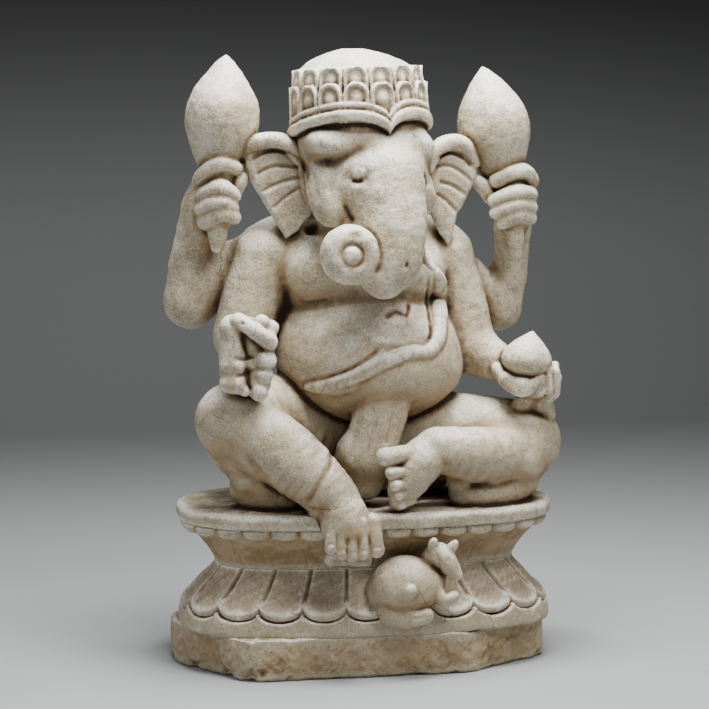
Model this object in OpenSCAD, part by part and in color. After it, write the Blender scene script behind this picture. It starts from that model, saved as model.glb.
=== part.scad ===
// Seated four-armed figure with an elephant's head, on a lotus base.
// All of it is carved from one block of marble. Each carved form is one node here,
// cut back where it meets the forms before it, so that they touch and never overlap.
// X is the viewer's right, the front faces -Y, and Z = 0 is the underside.
// "right" and "left" are the figure's own sides, so "right" lies towards -X.

/* [Base] */
// Width of the lotus base, side to side
base_w = 374; // [350:1:390]
// Depth of the lotus base, front to back
base_d = 200; // [190:1:210]
// Height of the rough plinth
plinth_h = 42; // [36:1:46]
// Height of the ledge on top of the plinth
ledge_h = 12; // [8:1:14]
// Height of the lower tier, up to the waist
lower_tier_h = 46; // [40:1:50]
// Height of the upper tier, from the waist to the slab
upper_tier_h = 43; // [38:1:48]
// Thickness of the seat slab
slab_h = 16; // [12:1:20]
// How far the waist is drawn in from the rim
waist_in = 38; // [34:1:42]
// Petals around the lower tier
lower_petals_n = 22; // [18:1:24]
// Petal tips around the upper tier
upper_petals_n = 34; // [28:1:36]

/* [Body] */
// Width of the belly
belly_w = 186; // [178:1:192]
// Depth of the belly
belly_d = 154; // [146:1:160]
// Width of the chest
chest_w = 166; // [158:1:172]
// Width of the head
head_w = 132; // [124:1:136]
// Height of the seated figure, from the slab to the top of the crown
figure_h = 441; // [438:1:446]

/* [Crown] */
// Radius of the crown's band
band_r = 72; // [70:1:74]
// Height of the crown's band
band_h = 26; // [22:1:28]
// Radius of the crown's drum
drum_r = 66; // [64:1:67]
// Height of the crown's drum
drum_h = 38; // [36:1:42]
// Sideways lean of the crown, in degrees
crown_lean = 4; // [2:0.5:5]
// Petals in each of the crown's two rows
crown_petals_n = 16; // [14:1:18]

/* [Held things] */
// Height of the lotus buds
bud_h = 106; // [98:1:108]
// Radius of the lotus buds
bud_r = 36; // [32:1:38]
// Height of the sweet
sweet_h = 42; // [36:1:46]
// Radius of the sweet
sweet_r = 23; // [20:1:25]

/* [Hidden] */

marble = "#cbc4b6";
worn_marble = "#dcd8cf";
rough_marble = "#b9b2a4";

ledge_z = plinth_h;
tier_z = ledge_z + ledge_h;
waist_z = tier_z + lower_tier_h;
slab_z = waist_z + upper_tier_h;
seat_z = slab_z + slab_h;

rim_h = 11;          // upright rim under the lower petals' tips
outline_power = 2.7; // roundness of the base's outline: 2 is an ellipse
outline_steps = 32;
bead_l = 24;         // length of the bead at the head of an upper petal
mouse_petals = 1;    // petals hidden behind the mouse, left uncarved
base_shift = 6;      // the tiers stand this far to the left of the plinth's middle
plate = 0.01;        // thickness of the plates that a tier is hulled between

// Point on the base's outline at angle a, drawn in by inset.
function power_cos(c) = sign(c) * pow(abs(c), 2 / outline_power);
function outline_at(a, inset) = [
  base_shift + (base_w / 2 - inset) * power_cos(cos(a)),
  (base_d / 2 - inset) * power_cos(sin(a))
];
function outline(inset) =
  [for (i = [0 : outline_steps - 1]) outline_at(360 * i / outline_steps, inset)];

// Table of [distance walked round the outline, angle], to space petals evenly.
walk_steps = 180;
function walk_step(i) =
  norm(outline_at(360 * (i + 1) / walk_steps - 90, 0) - outline_at(360 * i / walk_steps - 90, 0));
walk = [for (i = 0, s = 0; i <= walk_steps; s = s + walk_step(i), i = i + 1)
  [s, 360 * i / walk_steps - 90]];
perimeter = walk[walk_steps][0];

// A bead is [x, y, height above the seat, radius].
module bead(b, fn = 12) translate([b.x, b.y, seat_z + b.z]) sphere(r = b[3], $fn = fn);

// Smooth curve through four beads, from b at t = 0 to c at t = 1.
function between(a, b, c, d, t) =
  ((2 * b) + (c - a) * t + (2 * a - 5 * b + 4 * c - d) * t * t
   + (3 * b - a - 3 * c + d) * t * t * t) / 2;
function strung(path, steps) = let (n = len(path) - 1) [
  for (i = [0 : n - 1], k = [0 : steps - 1])
    between(path[max(i - 1, 0)], path[i], path[i + 1], path[min(i + 2, n)], k / steps),
  path[n]
];

// Round limb through the beads of a path.
module limb(path, steps = 2, fn = 12) {
  beads = strung(path, steps);
  for (i = [0 : len(beads) - 2])
    hull() { bead(beads[i], fn); bead(beads[i + 1], fn); }
}

// One smooth lump around all the beads given.
module lump(beads, fn = 12) hull() for (b = beads) bead(b, fn);

// Egg-shaped form: centre [x, y, height above the seat] and three radii.
module egg(c, r, fn = 20)
  hull() translate([c.x, c.y, seat_z + c.z]) scale(r) sphere(r = 1, $fn = fn);

// ---- lotus base ----

module plinth() {
  x = base_w / 2;
  y = base_d / 2;
  color(rough_marble) linear_extrude(plinth_h) polygon([
    [-0.33 * base_w, -y], [0.24 * base_w, -y], [x, -0.45 * y], [x, 0.4 * y],
    [0.34 * base_w, y], [-0.33 * base_w, y], [-x, 0.4 * y], [-x, -0.1 * y]
  ]);
}

module plinth_ledge()
  color(marble) translate([0, 0, ledge_z]) linear_extrude(ledge_h) polygon(outline(1));

module tier(z, h, low_inset, high_inset) hull() {
  translate([0, 0, z]) linear_extrude(plate) polygon(outline(low_inset));
  translate([0, 0, z + h - plate]) linear_extrude(plate) polygon(outline(high_inset));
}

module lower_tier_body() {
  translate([0, 0, tier_z]) linear_extrude(rim_h) polygon(outline(6));
  tier(tier_z + rim_h, lower_tier_h - rim_h, 9, waist_in);
}

module lower_tier() color(marble) lower_tier_body();

module upper_tier() color(marble) tier(waist_z, upper_tier_h, waist_in, 10);

module seat_slab()
  color(worn_marble) translate([0, 0, slab_z]) linear_extrude(slab_h) polygon(outline(0));

// Places a child at fraction i of n of the way round the base, facing outwards.
module around_base(i, n, inset) {
  a = lookup(perimeter * (i + 0.5) / n, walk);
  p = outline_at(a, inset);
  along = outline_at(a + 1, inset) - outline_at(a - 1, inset);
  translate([p.x, p.y, 0]) rotate(atan2(along.y, along.x) - 90) children();
}

// Tongue lying on the lower tier, with a rounded tip at the rim.
module lower_petal() {
  w = 0.82 * perimeter / lower_petals_n;
  hull() {
    for (side = [-1, 1]) {
      translate([-3, side * w * 0.2, tier_z + 5]) sphere(r = 6, $fn = 6);
      translate([-3, side * (w / 2 - 6), tier_z + 14]) sphere(r = 6, $fn = 6);
    }
    translate([-2 - waist_in, 0, waist_z - 8]) cube([12, 0.34 * w, 8], center = true);
  }
}

module lower_petals() color(marble) difference() {
  for (i = [mouse_petals : lower_petals_n - 1])
    around_base(i, lower_petals_n, 6) lower_petal();
  lower_tier_body();
  plinth_ledge();
  mouse();
}

// Rounded bead at the head of an upper petal, just under the slab.
module upper_petals() color(marble) difference() {
  for (i = [0 : upper_petals_n - 1])
    around_base(i, upper_petals_n, 12) translate([0, bead_l / 2, slab_z - 6])
      rotate([90, 0, 0]) cylinder(r = 6, h = bead_l, $fn = 8);
  upper_tier();
  seat_slab();
  mouse();
  right_foot_form();
}

// ---- mouse ----

module mouse_body_form() {
  limb([[24, -84, -76, 28], [30, -88, -74, 29], [44, -90, -74, 22]], 2);
  limb([[26, -108, -74, 8], [30, -117, -71, 5]], 1, 8);
}

module mouse_head_form() {
  limb([[62, -90, -38, 11], [68, -98, -44, 11], [77, -104, -58, 6]], 1, 10);
  limb([[55, -96, -32, 4], [57, -98, -24, 3]], 1, 8);
  limb([[73, -96, -34, 4], [76, -98, -28, 3]], 1, 8);
  limb([[58, -84, -46, 12], [54, -86, -60, 15]], 1, 10);
}

module mouse_paws_form() {
  limb([[30, -104, -92, 10], [42, -109, -96, 8]], 1, 8);
  limb([[56, -98, -66, 7], [60, -104, -76, 6], [72, -105, -82, 5]], 1, 8);
}

module mouse() {
  mouse_body_form();
  mouse_head_form();
  mouse_paws_form();
}

module tiers() {
  lower_tier_body();
  upper_tier();
  plinth_ledge();
}

module mouse_body() color(marble) difference() {
  mouse_body_form();
  tiers();
}

module mouse_head() color(worn_marble) difference() {
  mouse_head_form();
  mouse_body_form();
  tiers();
}

module mouse_paws() color(marble) difference() {
  mouse_paws_form();
  mouse_body_form();
  mouse_head_form();
  tiers();
}

// ---- trunk of the body ----

module hips_form() limb([[-58, 26, 44, 46], [5, 30, 46, 54], [66, 24, 44, 46]], 2, 12);

module belly_form() {
  egg([11, -5, 134], [belly_w / 2, belly_d / 2, 60]);
  egg([8, 6, 160], [belly_w / 2 - 6, belly_d / 2 - 8, 56]);
}

module chest_form() {
  egg([6, 14, 214], [chest_w / 2, 60, 62]);
  limb([[6, 14, 240, 44], [5, 8, 272, 44]], 2, 12);
  limb([[-86, 22, 238, 30], [5, 18, 246, 42], [88, 24, 238, 30]], 2, 12);
}

module hips() color(marble) difference() {
  hips_form();
  seat_slab();
}

module belly() color(marble) difference() {
  belly_form();
  hips_form();
}

module chest() color(marble) difference() {
  chest_form();
  belly_form();
}

module torso() {
  hips_form();
  belly_form();
  chest_form();
}

module loincloth() color(worn_marble) difference() {
  lump([[-4, -66, 98, 9], [34, -66, 98, 9], [-20, -78, 44, 9], [22, -74, 44, 9],
        [-14, -40, 60, 20], [24, -40, 60, 20]]);
  torso();
  right_leg();
  left_leg();
  seat_slab();
}

module sacred_thread() color(worn_marble) difference() {
  limb([[72, -34, 236, 9], [62, -56, 200, 9], [56, -68, 158, 9], [40, -75, 146, 9],
        [-2, -78, 124, 9], [-52, -62, 112, 9]], 2, 8);
  torso();
  trunk_form();
}

// ---- legs ----

module right_thigh_form() limb([[-46, 6, 72, 44], [-92, -20, 86, 41], [-131, -52, 89, 35]], 2, 12);

module right_shin_form()
  limb([[-130, -54, 84, 34], [-88, -74, 58, 33], [-54, -88, 30, 27], [-36, -96, 12, 23]], 2, 12);

module right_foot_form() {
  lump([[-40, -102, 8, 18], [-28, -102, 8, 18], [-44, -112, -22, 12], [-12, -112, -20, 13]]);
  for (k = [0 : 4])
    limb([[-47 + 10.5 * k, -116, -24, 7], [-48 + 11 * k, -121, -34 + k, 5 + 0.6 * k]], 1, 8);
}

module right_leg() {
  right_thigh_form();
  right_shin_form();
}

module right_thigh() color(marble) difference() {
  right_thigh_form();
  torso();
  seat_slab();
}

module right_shin() color(marble) difference() {
  right_shin_form();
  right_thigh_form();
  torso();
  seat_slab();
}

module right_foot() color(worn_marble) difference() {
  right_foot_form();
  right_shin_form();
  seat_slab();
  upper_tier();
}

module right_drape() color(marble) difference() {
  lump([[-132, -34, 62, 24], [-96, -12, 16, 20], [-80, -44, 18, 18], [-60, -12, 22, 22]]);
  right_leg();
  torso();
  seat_slab();
}

module left_thigh_form() limb([[58, 8, 62, 46], [110, -12, 58, 44], [160, -20, 55, 41]], 2, 12);

module left_shin_form() limb([[150, -42, 44, 28], [104, -70, 50, 27], [64, -80, 58, 22]], 2, 12);

module left_foot_form() {
  limb([[60, -82, 56, 21], [40, -88, 42, 23], [28, -92, 22, 17], [24, -93, 10, 10]], 2, 12);
  for (k = [0 : 4])
    limb([[22 + 4 * k, -100, 50 - 9 * k, 8 - 0.6 * k], [9 + 5 * k, -106, 54 - 11 * k, 7 - 0.7 * k]],
         1, 8);
}

module left_leg() {
  left_thigh_form();
  left_shin_form();
  left_foot_form();
}

module left_thigh() color(marble) difference() {
  left_thigh_form();
  torso();
  seat_slab();
}

module left_shin() color(marble) difference() {
  left_shin_form();
  left_thigh_form();
  torso();
  seat_slab();
}

module left_foot() color(worn_marble) difference() {
  left_foot_form();
  left_shin_form();
  left_thigh_form();
  belly_form();
  seat_slab();
}

module left_drape() color(marble) difference() {
  lump([[86, -46, 26, 18], [84, -46, 4, 16], [110, -30, 6, 16], [112, -20, 26, 18]]);
  left_leg();
  torso();
  seat_slab();
}

// ---- front arms ----

module front_right_upper_arm_form()
  limb([[-90, 12, 238, 31], [-103, 8, 204, 30], [-114, 4, 166, 28]], 2, 12);
module front_right_forearm_form()
  limb([[-114, -4, 158, 23], [-116, -32, 152, 23], [-117, -62, 146, 20]], 2, 12);
module front_right_hand_form() {
  lump([[-118, -76, 146, 19], [-119, -84, 171, 17], [-110, -86, 134, 15]]);
  for (k = [0 : 3])
    limb([[-132 + 9 * k, -92, 150, 8], [-134 + 9 * k, -102, 132, 8],
          [-132 + 9 * k, -94, 116 + 2 * k, 7]], 1, 8);
  limb([[-112, -90, 172, 9], [-98, -98, 162, 8]], 1, 8);
}

module front_left_upper_arm_form()
  limb([[90, 14, 236, 30], [116, 12, 182, 28], [129, 4, 140, 26]], 2, 12);
module front_left_forearm_form()
  limb([[129, 2, 134, 20], [141, -12, 130, 19], [150, -22, 126, 16]], 2, 12);
module front_left_hand_form() {
  lump([[153, -28, 122, 17], [164, -38, 116, 20], [172, -40, 102, 15]]);
  for (k = [0 : 3])
    limb([[146 + 12 * k, -56, 112, 7], [148 + 12 * k, -60, 126, 7],
          [150 + 11 * k, -56, 138, 6]], 1, 8);
}

module front_right_upper_arm() color(marble) difference() {
  front_right_upper_arm_form();
  torso();
}

module front_right_forearm() color(marble) difference() {
  front_right_forearm_form();
  front_right_upper_arm_form();
  torso();
  right_leg();
}

module front_right_hand() color(worn_marble) difference() {
  front_right_hand_form();
  front_right_forearm_form();
  belly_form();
  right_leg();
}

module front_left_upper_arm() color(marble) difference() {
  front_left_upper_arm_form();
  torso();
}

module front_left_forearm() color(marble) difference() {
  front_left_forearm_form();
  front_left_upper_arm_form();
  torso();
}

module front_left_hand() color(worn_marble) difference() {
  front_left_hand_form();
  front_left_forearm_form();
  left_thigh_form();
}

module sweet() color(worn_marble) difference() {
  translate([160, -44, seat_z + 126]) rotate_extrude($fn = 16) polygon([
    for (t = [0 : 0.2 : 1]) [sweet_r * sqrt(1 - pow(t, 1.5)) * (1 - 0.25 * t), sweet_h * t],
    [0, 0]
  ]);
  front_left_hand_form();
  front_left_forearm_form();
}

module hand_strut() color(marble) difference() {
  limb([[166, -34, 100, 17], [168, -28, 84, 18]], 1);
  left_thigh_form();
  front_left_hand_form();
  front_left_forearm_form();
}

// ---- rear arms ----

module rear_right_upper_arm_form()
  limb([[-84, 34, 234, 31], [-124, 38, 222, 29], [-160, 40, 194, 26]], 2, 12);
module rear_right_forearm_form()
  limb([[-162, 40, 200, 21], [-158, 36, 238, 20], [-146, 28, 278, 17]], 2, 12);
module rear_left_upper_arm_form()
  limb([[88, 34, 228, 30], [122, 38, 206, 26], [150, 40, 184, 22]], 2, 12);
module rear_left_forearm_form()
  limb([[153, 40, 190, 18], [162, 38, 224, 18], [159, 30, 260, 16]], 2, 12);

// Hand around a stem: four fingers stacked across the front and a thumb.
module gripping_hand(palm, turn) translate(palm) {
  translate([0, 0, -seat_z]) {
    lump([[0, 8, -24, 17], [0, 0, 0, 22], [0, -6, -18, 14], [0, -6, 14, 14]]);
    for (k = [0 : 3])
      limb([[-17 * turn, -3, 17 - 14 * k, 7.5], [2 * turn, -20, 15 - 14 * k, 7.5],
            [15 * turn, -12, 19 - 13 * k, 6.5]], 1, 6);
    limb([[13 * turn, 3, 1, 8], [17 * turn, -14, 9, 7.5]], 1, 8);
  }
}

module rear_right_hand_form() gripping_hand([-142, 14, seat_z + 304], 1);
module rear_left_hand_form() gripping_hand([155, 15, seat_z + 298], -1);

module rear_right_upper_arm() color(marble) difference() {
  rear_right_upper_arm_form();
  torso();
  front_right_upper_arm_form();
}

module rear_right_forearm() color(marble) difference() {
  rear_right_forearm_form();
  rear_right_upper_arm_form();
}

module rear_right_hand() color(marble) difference() {
  rear_right_hand_form();
  rear_right_forearm_form();
}

module rear_left_upper_arm() color(marble) difference() {
  rear_left_upper_arm_form();
  torso();
  front_left_upper_arm_form();
}

module rear_left_forearm() color(marble) difference() {
  rear_left_forearm_form();
  rear_left_upper_arm_form();
}

module rear_left_hand() color(marble) difference() {
  rear_left_hand_form();
  rear_left_forearm_form();
}

// Bud: radius swells from the neck to the full width, then tapers to a point.
function bud_radius(t) = t < 0.42
  ? bud_r * (0.48 + 0.52 * sin(90 * t / 0.42))
  : bud_r * pow(cos(90 * (t - 0.42) / 0.58), 0.75);
module bud() rotate_extrude($fn = 20) polygon([
  [0, 0], for (t = [0 : 0.1 : 0.95]) [bud_radius(t), bud_h * t], [0, bud_h]
]);

module rear_right_bud_form() translate([-137, 10, seat_z + 330]) bud();
module rear_left_bud_form() translate([147, 10, seat_z + 324]) rotate([0, -11, 0]) bud();

module rear_right_bud() color(worn_marble) difference() {
  rear_right_bud_form();
  rear_right_hand_form();
}

module rear_left_bud() color(worn_marble) difference() {
  rear_left_bud_form();
  rear_left_hand_form();
}

module rear_right_stem() color(marble) difference() {
  limb([[-141, 6, 282, 11], [-139, 4, 264, 9], [-138, 4, 250, 5]], 1, 10);
  rear_right_hand_form();
  rear_right_forearm_form();
}

module rear_left_stem() color(marble) difference() {
  limb([[159, 5, 270, 10], [165, 4, 254, 9], [168, 3, 240, 5]], 1, 10);
  rear_left_hand_form();
  rear_left_forearm_form();
}

// ---- head ----

module head_form() {
  egg([1, -20, 318], [head_w / 2, 60, 52]);
  egg([4, -26, 296], [head_w / 2 - 8, 54, 44]);
  limb([[-34, -44, 300, 34], [6, -46, 306, 40], [44, -36, 300, 30]], 2, 12);
}

module trunk_form() {
  limb([[8, -56, 310, 42], [14, -70, 286, 37], [17, -80, 262, 33], [16, -88, 240, 29],
        [6, -94, 226, 22]], 2, 12);
}

module trunk_curl_form() {
  limb([[-4, -98, 226, 16], [-24, -104, 228, 12], [-42, -106, 238, 11], [-42, -108, 254, 11],
        [-26, -110, 262, 11], [-12, -112, 256, 11]], 1, 10);
  limb([[-30, -106, 246, 14], [-32, -118, 246, 9]], 1, 10);
}

module head() color(worn_marble) difference() {
  head_form();
  chest_form();
}

module trunk() color(worn_marble) difference() {
  trunk_form();
  head_form();
  chest_form();
  belly_form();
}

module trunk_curl() color(worn_marble) difference() {
  trunk_curl_form();
  trunk_form();
  head_form();
  chest_form();
  belly_form();
}

module right_tusk() color(worn_marble) difference() {
  limb([[-16, -70, 284, 10], [-26, -88, 276, 8]], 1, 10);
  head_form();
  trunk_form();
  trunk_curl_form();
}

module left_tusk() color(worn_marble) difference() {
  limb([[44, -62, 258, 9], [52, -72, 246, 7], [58, -77, 234, 3]], 1, 10);
  head_form();
  trunk_form();
  chest_form();
}

// Fan of stone between an upper rolled rim and a low tip, with ribs down it.
module ear_form(rim, tip, root) {
  for (k = [0 : len(rim) - 1])
    limb([rim[k], tip], 1, 8);
  for (k = [0 : len(rim) - 2])
    hull() { bead(rim[k], 10); bead(rim[k + 1], 10); bead(tip, 8); }
  hull() { bead(rim[len(rim) - 1], 10); bead(root, 10); bead(tip, 8); }
}

module right_ear_form() ear_form(
  [[-110, 2, 338, 7], [-98, 0, 348, 7], [-84, -2, 350, 7], [-58, -6, 340, 7]],
  [-76, -14, 262, 6], [-46, -18, 284, 8]);
module left_ear_form() ear_form(
  [[118, 8, 328, 7], [108, 6, 344, 7], [94, 4, 350, 7], [68, 0, 340, 7]],
  [88, -4, 257, 6], [66, -10, 282, 8]);

module right_ear() color(marble) difference() {
  right_ear_form();
  head_form();
  chest_form();
  rear_right_bud_form();
  rear_right_hand_form();
}

module left_ear() color(marble) difference() {
  left_ear_form();
  head_form();
  chest_form();
  rear_left_bud_form();
  rear_left_hand_form();
}

// ---- crown ----

dome_h = 22;
crown_z = figure_h - dome_h - drum_h - band_h;

module in_crown() translate([-1, -14, seat_z + crown_z]) rotate([0, -crown_lean, 0]) children();

module crown_band() color(worn_marble) difference() {
  in_crown() rotate_extrude($fn = 28) polygon([
    [band_r - 20, -6], [band_r - 4, -6], [band_r, 2], [band_r - 3, band_h / 2],
    [band_r, band_h - 5], [band_r - 4, band_h], [band_r - 20, band_h]
  ]);
  head_form();
  trunk_form();
  crown_core();
  right_ear_form();
  left_ear_form();
}

module crown_core()
  in_crown() translate([0, 0, -2]) cylinder(r = drum_r - 4, h = band_h + drum_h + 2, $fn = 28);

module crown_drum() color(marble) difference() {
  crown_core();
  head_form();
}

module crown_dome() color(worn_marble)
  in_crown() translate([0, 0, band_h + drum_h]) rotate_extrude($fn = 32) polygon([
    [0, 0], for (a = [0 : 10 : 80]) [(drum_r - 9) * cos(a), dome_h * sin(a)], [0, dome_h]
  ]);

// Two rows of rounded petals round the drum, the upper row set half a petal on.
module crown_petals() color(worn_marble) difference() {
  in_crown() for (row = [0, 1], i = [0 : crown_petals_n - 1])
    rotate(360 * (i + row / 2) / crown_petals_n)
      translate([drum_r - 5, 0, band_h + 3 + row * drum_h / 2]) hull() {
        translate([2, 0, 2]) cube([5, 18, 4], center = true);
        translate([0, 0, 9]) rotate([0, 90, 0]) cylinder(r = 8, h = 4, $fn = 8);
      }
  crown_core();
}

plinth();
plinth_ledge();
lower_tier();
upper_tier();
seat_slab();
lower_petals();
upper_petals();
mouse_body();
mouse_head();
mouse_paws();
hips();
belly();
chest();
loincloth();
sacred_thread();
right_thigh();
right_shin();
right_foot();
right_drape();
left_thigh();
left_shin();
left_foot();
left_drape();
front_right_upper_arm();
front_right_forearm();
front_right_hand();
front_left_upper_arm();
front_left_forearm();
front_left_hand();
sweet();
hand_strut();
rear_right_upper_arm();
rear_right_forearm();
rear_right_hand();
rear_right_bud();
rear_right_stem();
rear_left_upper_arm();
rear_left_forearm();
rear_left_hand();
rear_left_bud();
rear_left_stem();
head();
trunk();
trunk_curl();
right_tusk();
left_tusk();
right_ear();
left_ear();
crown_band();
crown_drum();
crown_dome();
crown_petals();
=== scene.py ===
"""Seated four-armed figure with an elephant's head on a lotus base, carved from one block of marble.

The figure is carved the way a mason works. Each form is a distance field, a number at every point
of a block that is negative inside the form. The fields are run together with small fillets, lines
are cut into the result, and the skin of each named form is taken off it as a closed mesh. The base
is made of rings carried round its outline. Lengths inside the carving are in millimetres and
heights are above the seat; meshes are in metres.
"""
import math
from collections import namedtuple

import bpy
import numpy as np
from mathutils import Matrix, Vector


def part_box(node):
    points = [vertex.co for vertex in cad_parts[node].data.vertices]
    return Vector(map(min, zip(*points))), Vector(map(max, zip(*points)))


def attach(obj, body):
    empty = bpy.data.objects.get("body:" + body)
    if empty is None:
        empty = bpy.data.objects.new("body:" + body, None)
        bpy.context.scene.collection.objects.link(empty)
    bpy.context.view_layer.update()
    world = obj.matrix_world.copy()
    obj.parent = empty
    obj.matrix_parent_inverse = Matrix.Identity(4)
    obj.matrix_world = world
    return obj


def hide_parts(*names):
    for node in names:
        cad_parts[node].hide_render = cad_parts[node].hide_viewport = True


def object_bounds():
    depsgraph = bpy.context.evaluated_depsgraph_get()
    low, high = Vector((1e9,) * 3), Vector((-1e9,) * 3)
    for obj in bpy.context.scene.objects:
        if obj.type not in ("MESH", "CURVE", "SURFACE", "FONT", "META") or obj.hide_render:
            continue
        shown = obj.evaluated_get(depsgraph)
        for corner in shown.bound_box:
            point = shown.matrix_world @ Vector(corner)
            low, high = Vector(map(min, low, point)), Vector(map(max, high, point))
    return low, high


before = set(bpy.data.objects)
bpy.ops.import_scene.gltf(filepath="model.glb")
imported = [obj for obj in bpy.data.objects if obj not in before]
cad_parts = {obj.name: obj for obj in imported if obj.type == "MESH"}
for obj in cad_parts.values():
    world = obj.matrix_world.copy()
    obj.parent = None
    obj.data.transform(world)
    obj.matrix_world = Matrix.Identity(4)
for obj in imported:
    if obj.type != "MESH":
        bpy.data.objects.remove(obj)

bl_info = {
    "name": "Carved marble idol",
    "version": (1, 0, 0),
    "blender": (4, 5, 0),
    "location": "3D View > Sidebar > Idol",
    "description": "Carves a seated elephant-headed figure and its lotus base",
    "category": "Object",
}

CAD_BOX = [list(corner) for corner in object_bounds()]
SEAT_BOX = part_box("seat_slab")
MM = (CAD_BOX[1][2] - SEAT_BOX[1].z) / 441
SEAT = SEAT_BOX[1].z / MM


def height_of(node, corner):
    """Height of a CAD node's lowest (0) or highest (1) corner above the seat, in millimetres."""
    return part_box(node)[corner].z / MM - SEAT


LEDGE_H = height_of("plinth_ledge", 0)
TIER_H = height_of("lower_tier", 0)
WAIST_H = height_of("upper_tier", 0)
SLAB_H = height_of("seat_slab", 0)
FLOOR_H = -SEAT
BASE_HALF_W = (SEAT_BOX[1].x - SEAT_BOX[0].x) / MM / 2
BASE_HALF_D = (SEAT_BOX[1].y - SEAT_BOX[0].y) / MM / 2
BASE_SHIFT = (SEAT_BOX[1].x + SEAT_BOX[0].x) / MM / 2
OUTLINE_POWER = 2.7  # 2 is an ellipse, and more is nearer to a box

FAR = 30.0    # distance written where no form is near
REACH = 12.0  # how far from a form its distance is still worked out
SINK = 0.12   # how steeply a piece's skin first sinks under its neighbour
DIVE = 2.5    # how steeply it dives further in
LINE_REACH = 11.0  # how far behind the front of the stone a cut line still works
CLOUDED = (0.47, 0.40, 0.28)    # soft clouds in the marble
LOW_SHADE_AND_DIRT = (0.34, 0.28, 0.185)    # darker marble low on the carving: painted shade for light falling off with height, and partly dirt
BRUISED = (0.9, 0.885, 0.84)    # pale spots where the stone was struck
RUSTY = (0.36, 0.255, 0.135)    # the lighter parts of the patina
BACKDROP_TOP_SHADE = (0.010, 0.010, 0.0095)  # painted shade at the top of the backdrop, standing in for light falling off


# ---- settings that a user would change ----

class IDOL_PG_sizes(bpy.types.PropertyGroup):
    """Sizes of the carving"""
    pitch: bpy.props.FloatProperty(
        name="Carving pitch", description="Spacing of the carving grid, in millimetres",
        default=1.43, min=1, max=4)
    waist_in: bpy.props.FloatProperty(
        name="Waist", description="How far the waist is drawn in from the rim, in millimetres",
        default=38, min=30, max=44)
    lower_petals: bpy.props.IntProperty(
        name="Lower petals", description="Petals around the lower tier", default=22, min=16, max=28)
    upper_petals: bpy.props.IntProperty(
        name="Upper petal tips", description="Petal tips around the upper tier",
        default=34, min=24, max=40)
    crown_petals: bpy.props.IntProperty(
        name="Crown petals", description="Petals in each row of the crown", default=16, min=12, max=20)
    bud_height: bpy.props.FloatProperty(
        name="Bud height", description="Height of the lotus buds, in millimetres",
        default=108, min=90, max=112)
    bud_radius: bpy.props.FloatProperty(
        name="Bud radius", description="Radius of the lotus buds, in millimetres",
        default=36, min=30, max=38)
    undulation: bpy.props.FloatProperty(
        name="Undulation", description="Unevenness of the hand-carved surface, in millimetres",
        default=0.5, min=0, max=2)


def colour_setting(name, description, default):
    """A colour that the user can change."""
    return bpy.props.FloatVectorProperty(
        name=name, description=description, default=default, size=3, min=0, max=1, subtype="COLOR")


class IDOL_PG_colours(bpy.types.PropertyGroup):
    """Colours of the marble and the floor"""
    clean: colour_setting("Marble", "Clean marble", (0.60, 0.525, 0.38))
    shade: colour_setting("Darker grain", "Darker grain of the marble", (0.30, 0.24, 0.155))
    # worn colour for real wear on edges, also painted on faces turned upwards as light from above
    worn: colour_setting("Worn marble", "Marble worn bright on edges and tops", (0.91, 0.87, 0.765))
    # patina colour for the hollows, also painted on faces turned downwards as shade under forms
    patina: colour_setting("Patina", "Brown patina in the hollows", (0.22, 0.125, 0.05))
    # near-black colour for grime, pits and cracks, also painted as shade in creases and deep recesses
    grime_and_shade: colour_setting("Grime", "Dark grime in the creases", (0.028, 0.018, 0.010))
    floor: colour_setting("Floor", "Pale floor", (0.42, 0.44, 0.455))
    # grey painted on the far floor and backdrop as shade where light falls off with distance
    backdrop: colour_setting("Backdrop", "Grey of the backdrop behind the floor", (0.215, 0.218, 0.223))


# ---- distance fields ----

Shape = namedtuple("Shape", "low high distance")


def smooth_min(a, b, k):
    """The lower of two distances, less a quarter of k where they are equal, easing out over k."""
    h = np.maximum(k - np.abs(a - b), 0) / k
    return np.minimum(a, b) - h * h * (k / 4)


def ball(x, y, z, r):
    """Distance to a ball: distance to its centre, less the radius."""
    def distance(X, Y, Z):
        return np.sqrt((X - x) ** 2 + (Y - y) ** 2 + (Z - z) ** 2) - r
    return Shape(np.array([x - r, y - r, z - r]), np.array([x + r, y + r, z + r]), distance)


def cone(a, b):
    """Distance to a rod between two balls: distance to the nearest point of the line between their
    centres, less the radius there."""
    ax, ay, az, ar = (float(v) for v in a)
    dx, dy, dz, dr = (float(q - p) for p, q in zip(a, b))
    long = max(dx * dx + dy * dy + dz * dz, 1e-6)

    def distance(X, Y, Z):
        px, py, pz = X - ax, Y - ay, Z - az
        t = np.clip((px * dx + py * dy + pz * dz) * (1 / long), 0, 1)
        return np.sqrt((px - t * dx) ** 2 + (py - t * dy) ** 2 + (pz - t * dz) ** 2) - (ar + dr * t)
    p, q = np.array(a, float), np.array(b, float)
    return Shape(np.minimum(p[:3] - p[3], q[:3] - q[3]), np.maximum(p[:3] + p[3], q[:3] + q[3]), distance)


def egg(centre, radii, turn=0.0):
    """Distance to an ellipsoid: the scaled radius k, times k - 1, over the slope of k. turn leans
    it about the Y axis, in degrees."""
    cx, cy, cz = centre
    rx, ry, rz = radii
    c, s = math.cos(math.radians(turn)), math.sin(math.radians(turn))

    def distance(X, Y, Z):
        px, py, pz = X - cx, Y - cy, Z - cz
        ux, uz = (px, pz) if turn == 0 else (px * c - pz * s, px * s + pz * c)
        k = np.sqrt((ux / rx) ** 2 + (py / ry) ** 2 + (uz / rz) ** 2)
        slope = np.sqrt((ux / rx ** 2) ** 2 + (py / ry ** 2) ** 2 + (uz / rz ** 2) ** 2)
        return k * (k - 1) / np.maximum(slope, 1e-4)
    reach = np.array([rx, ry, rz] if turn == 0 else [max(rx, rz), ry, max(rx, rz)], float)
    return Shape(np.array(centre) - reach, np.array(centre) + reach, distance)


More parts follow.
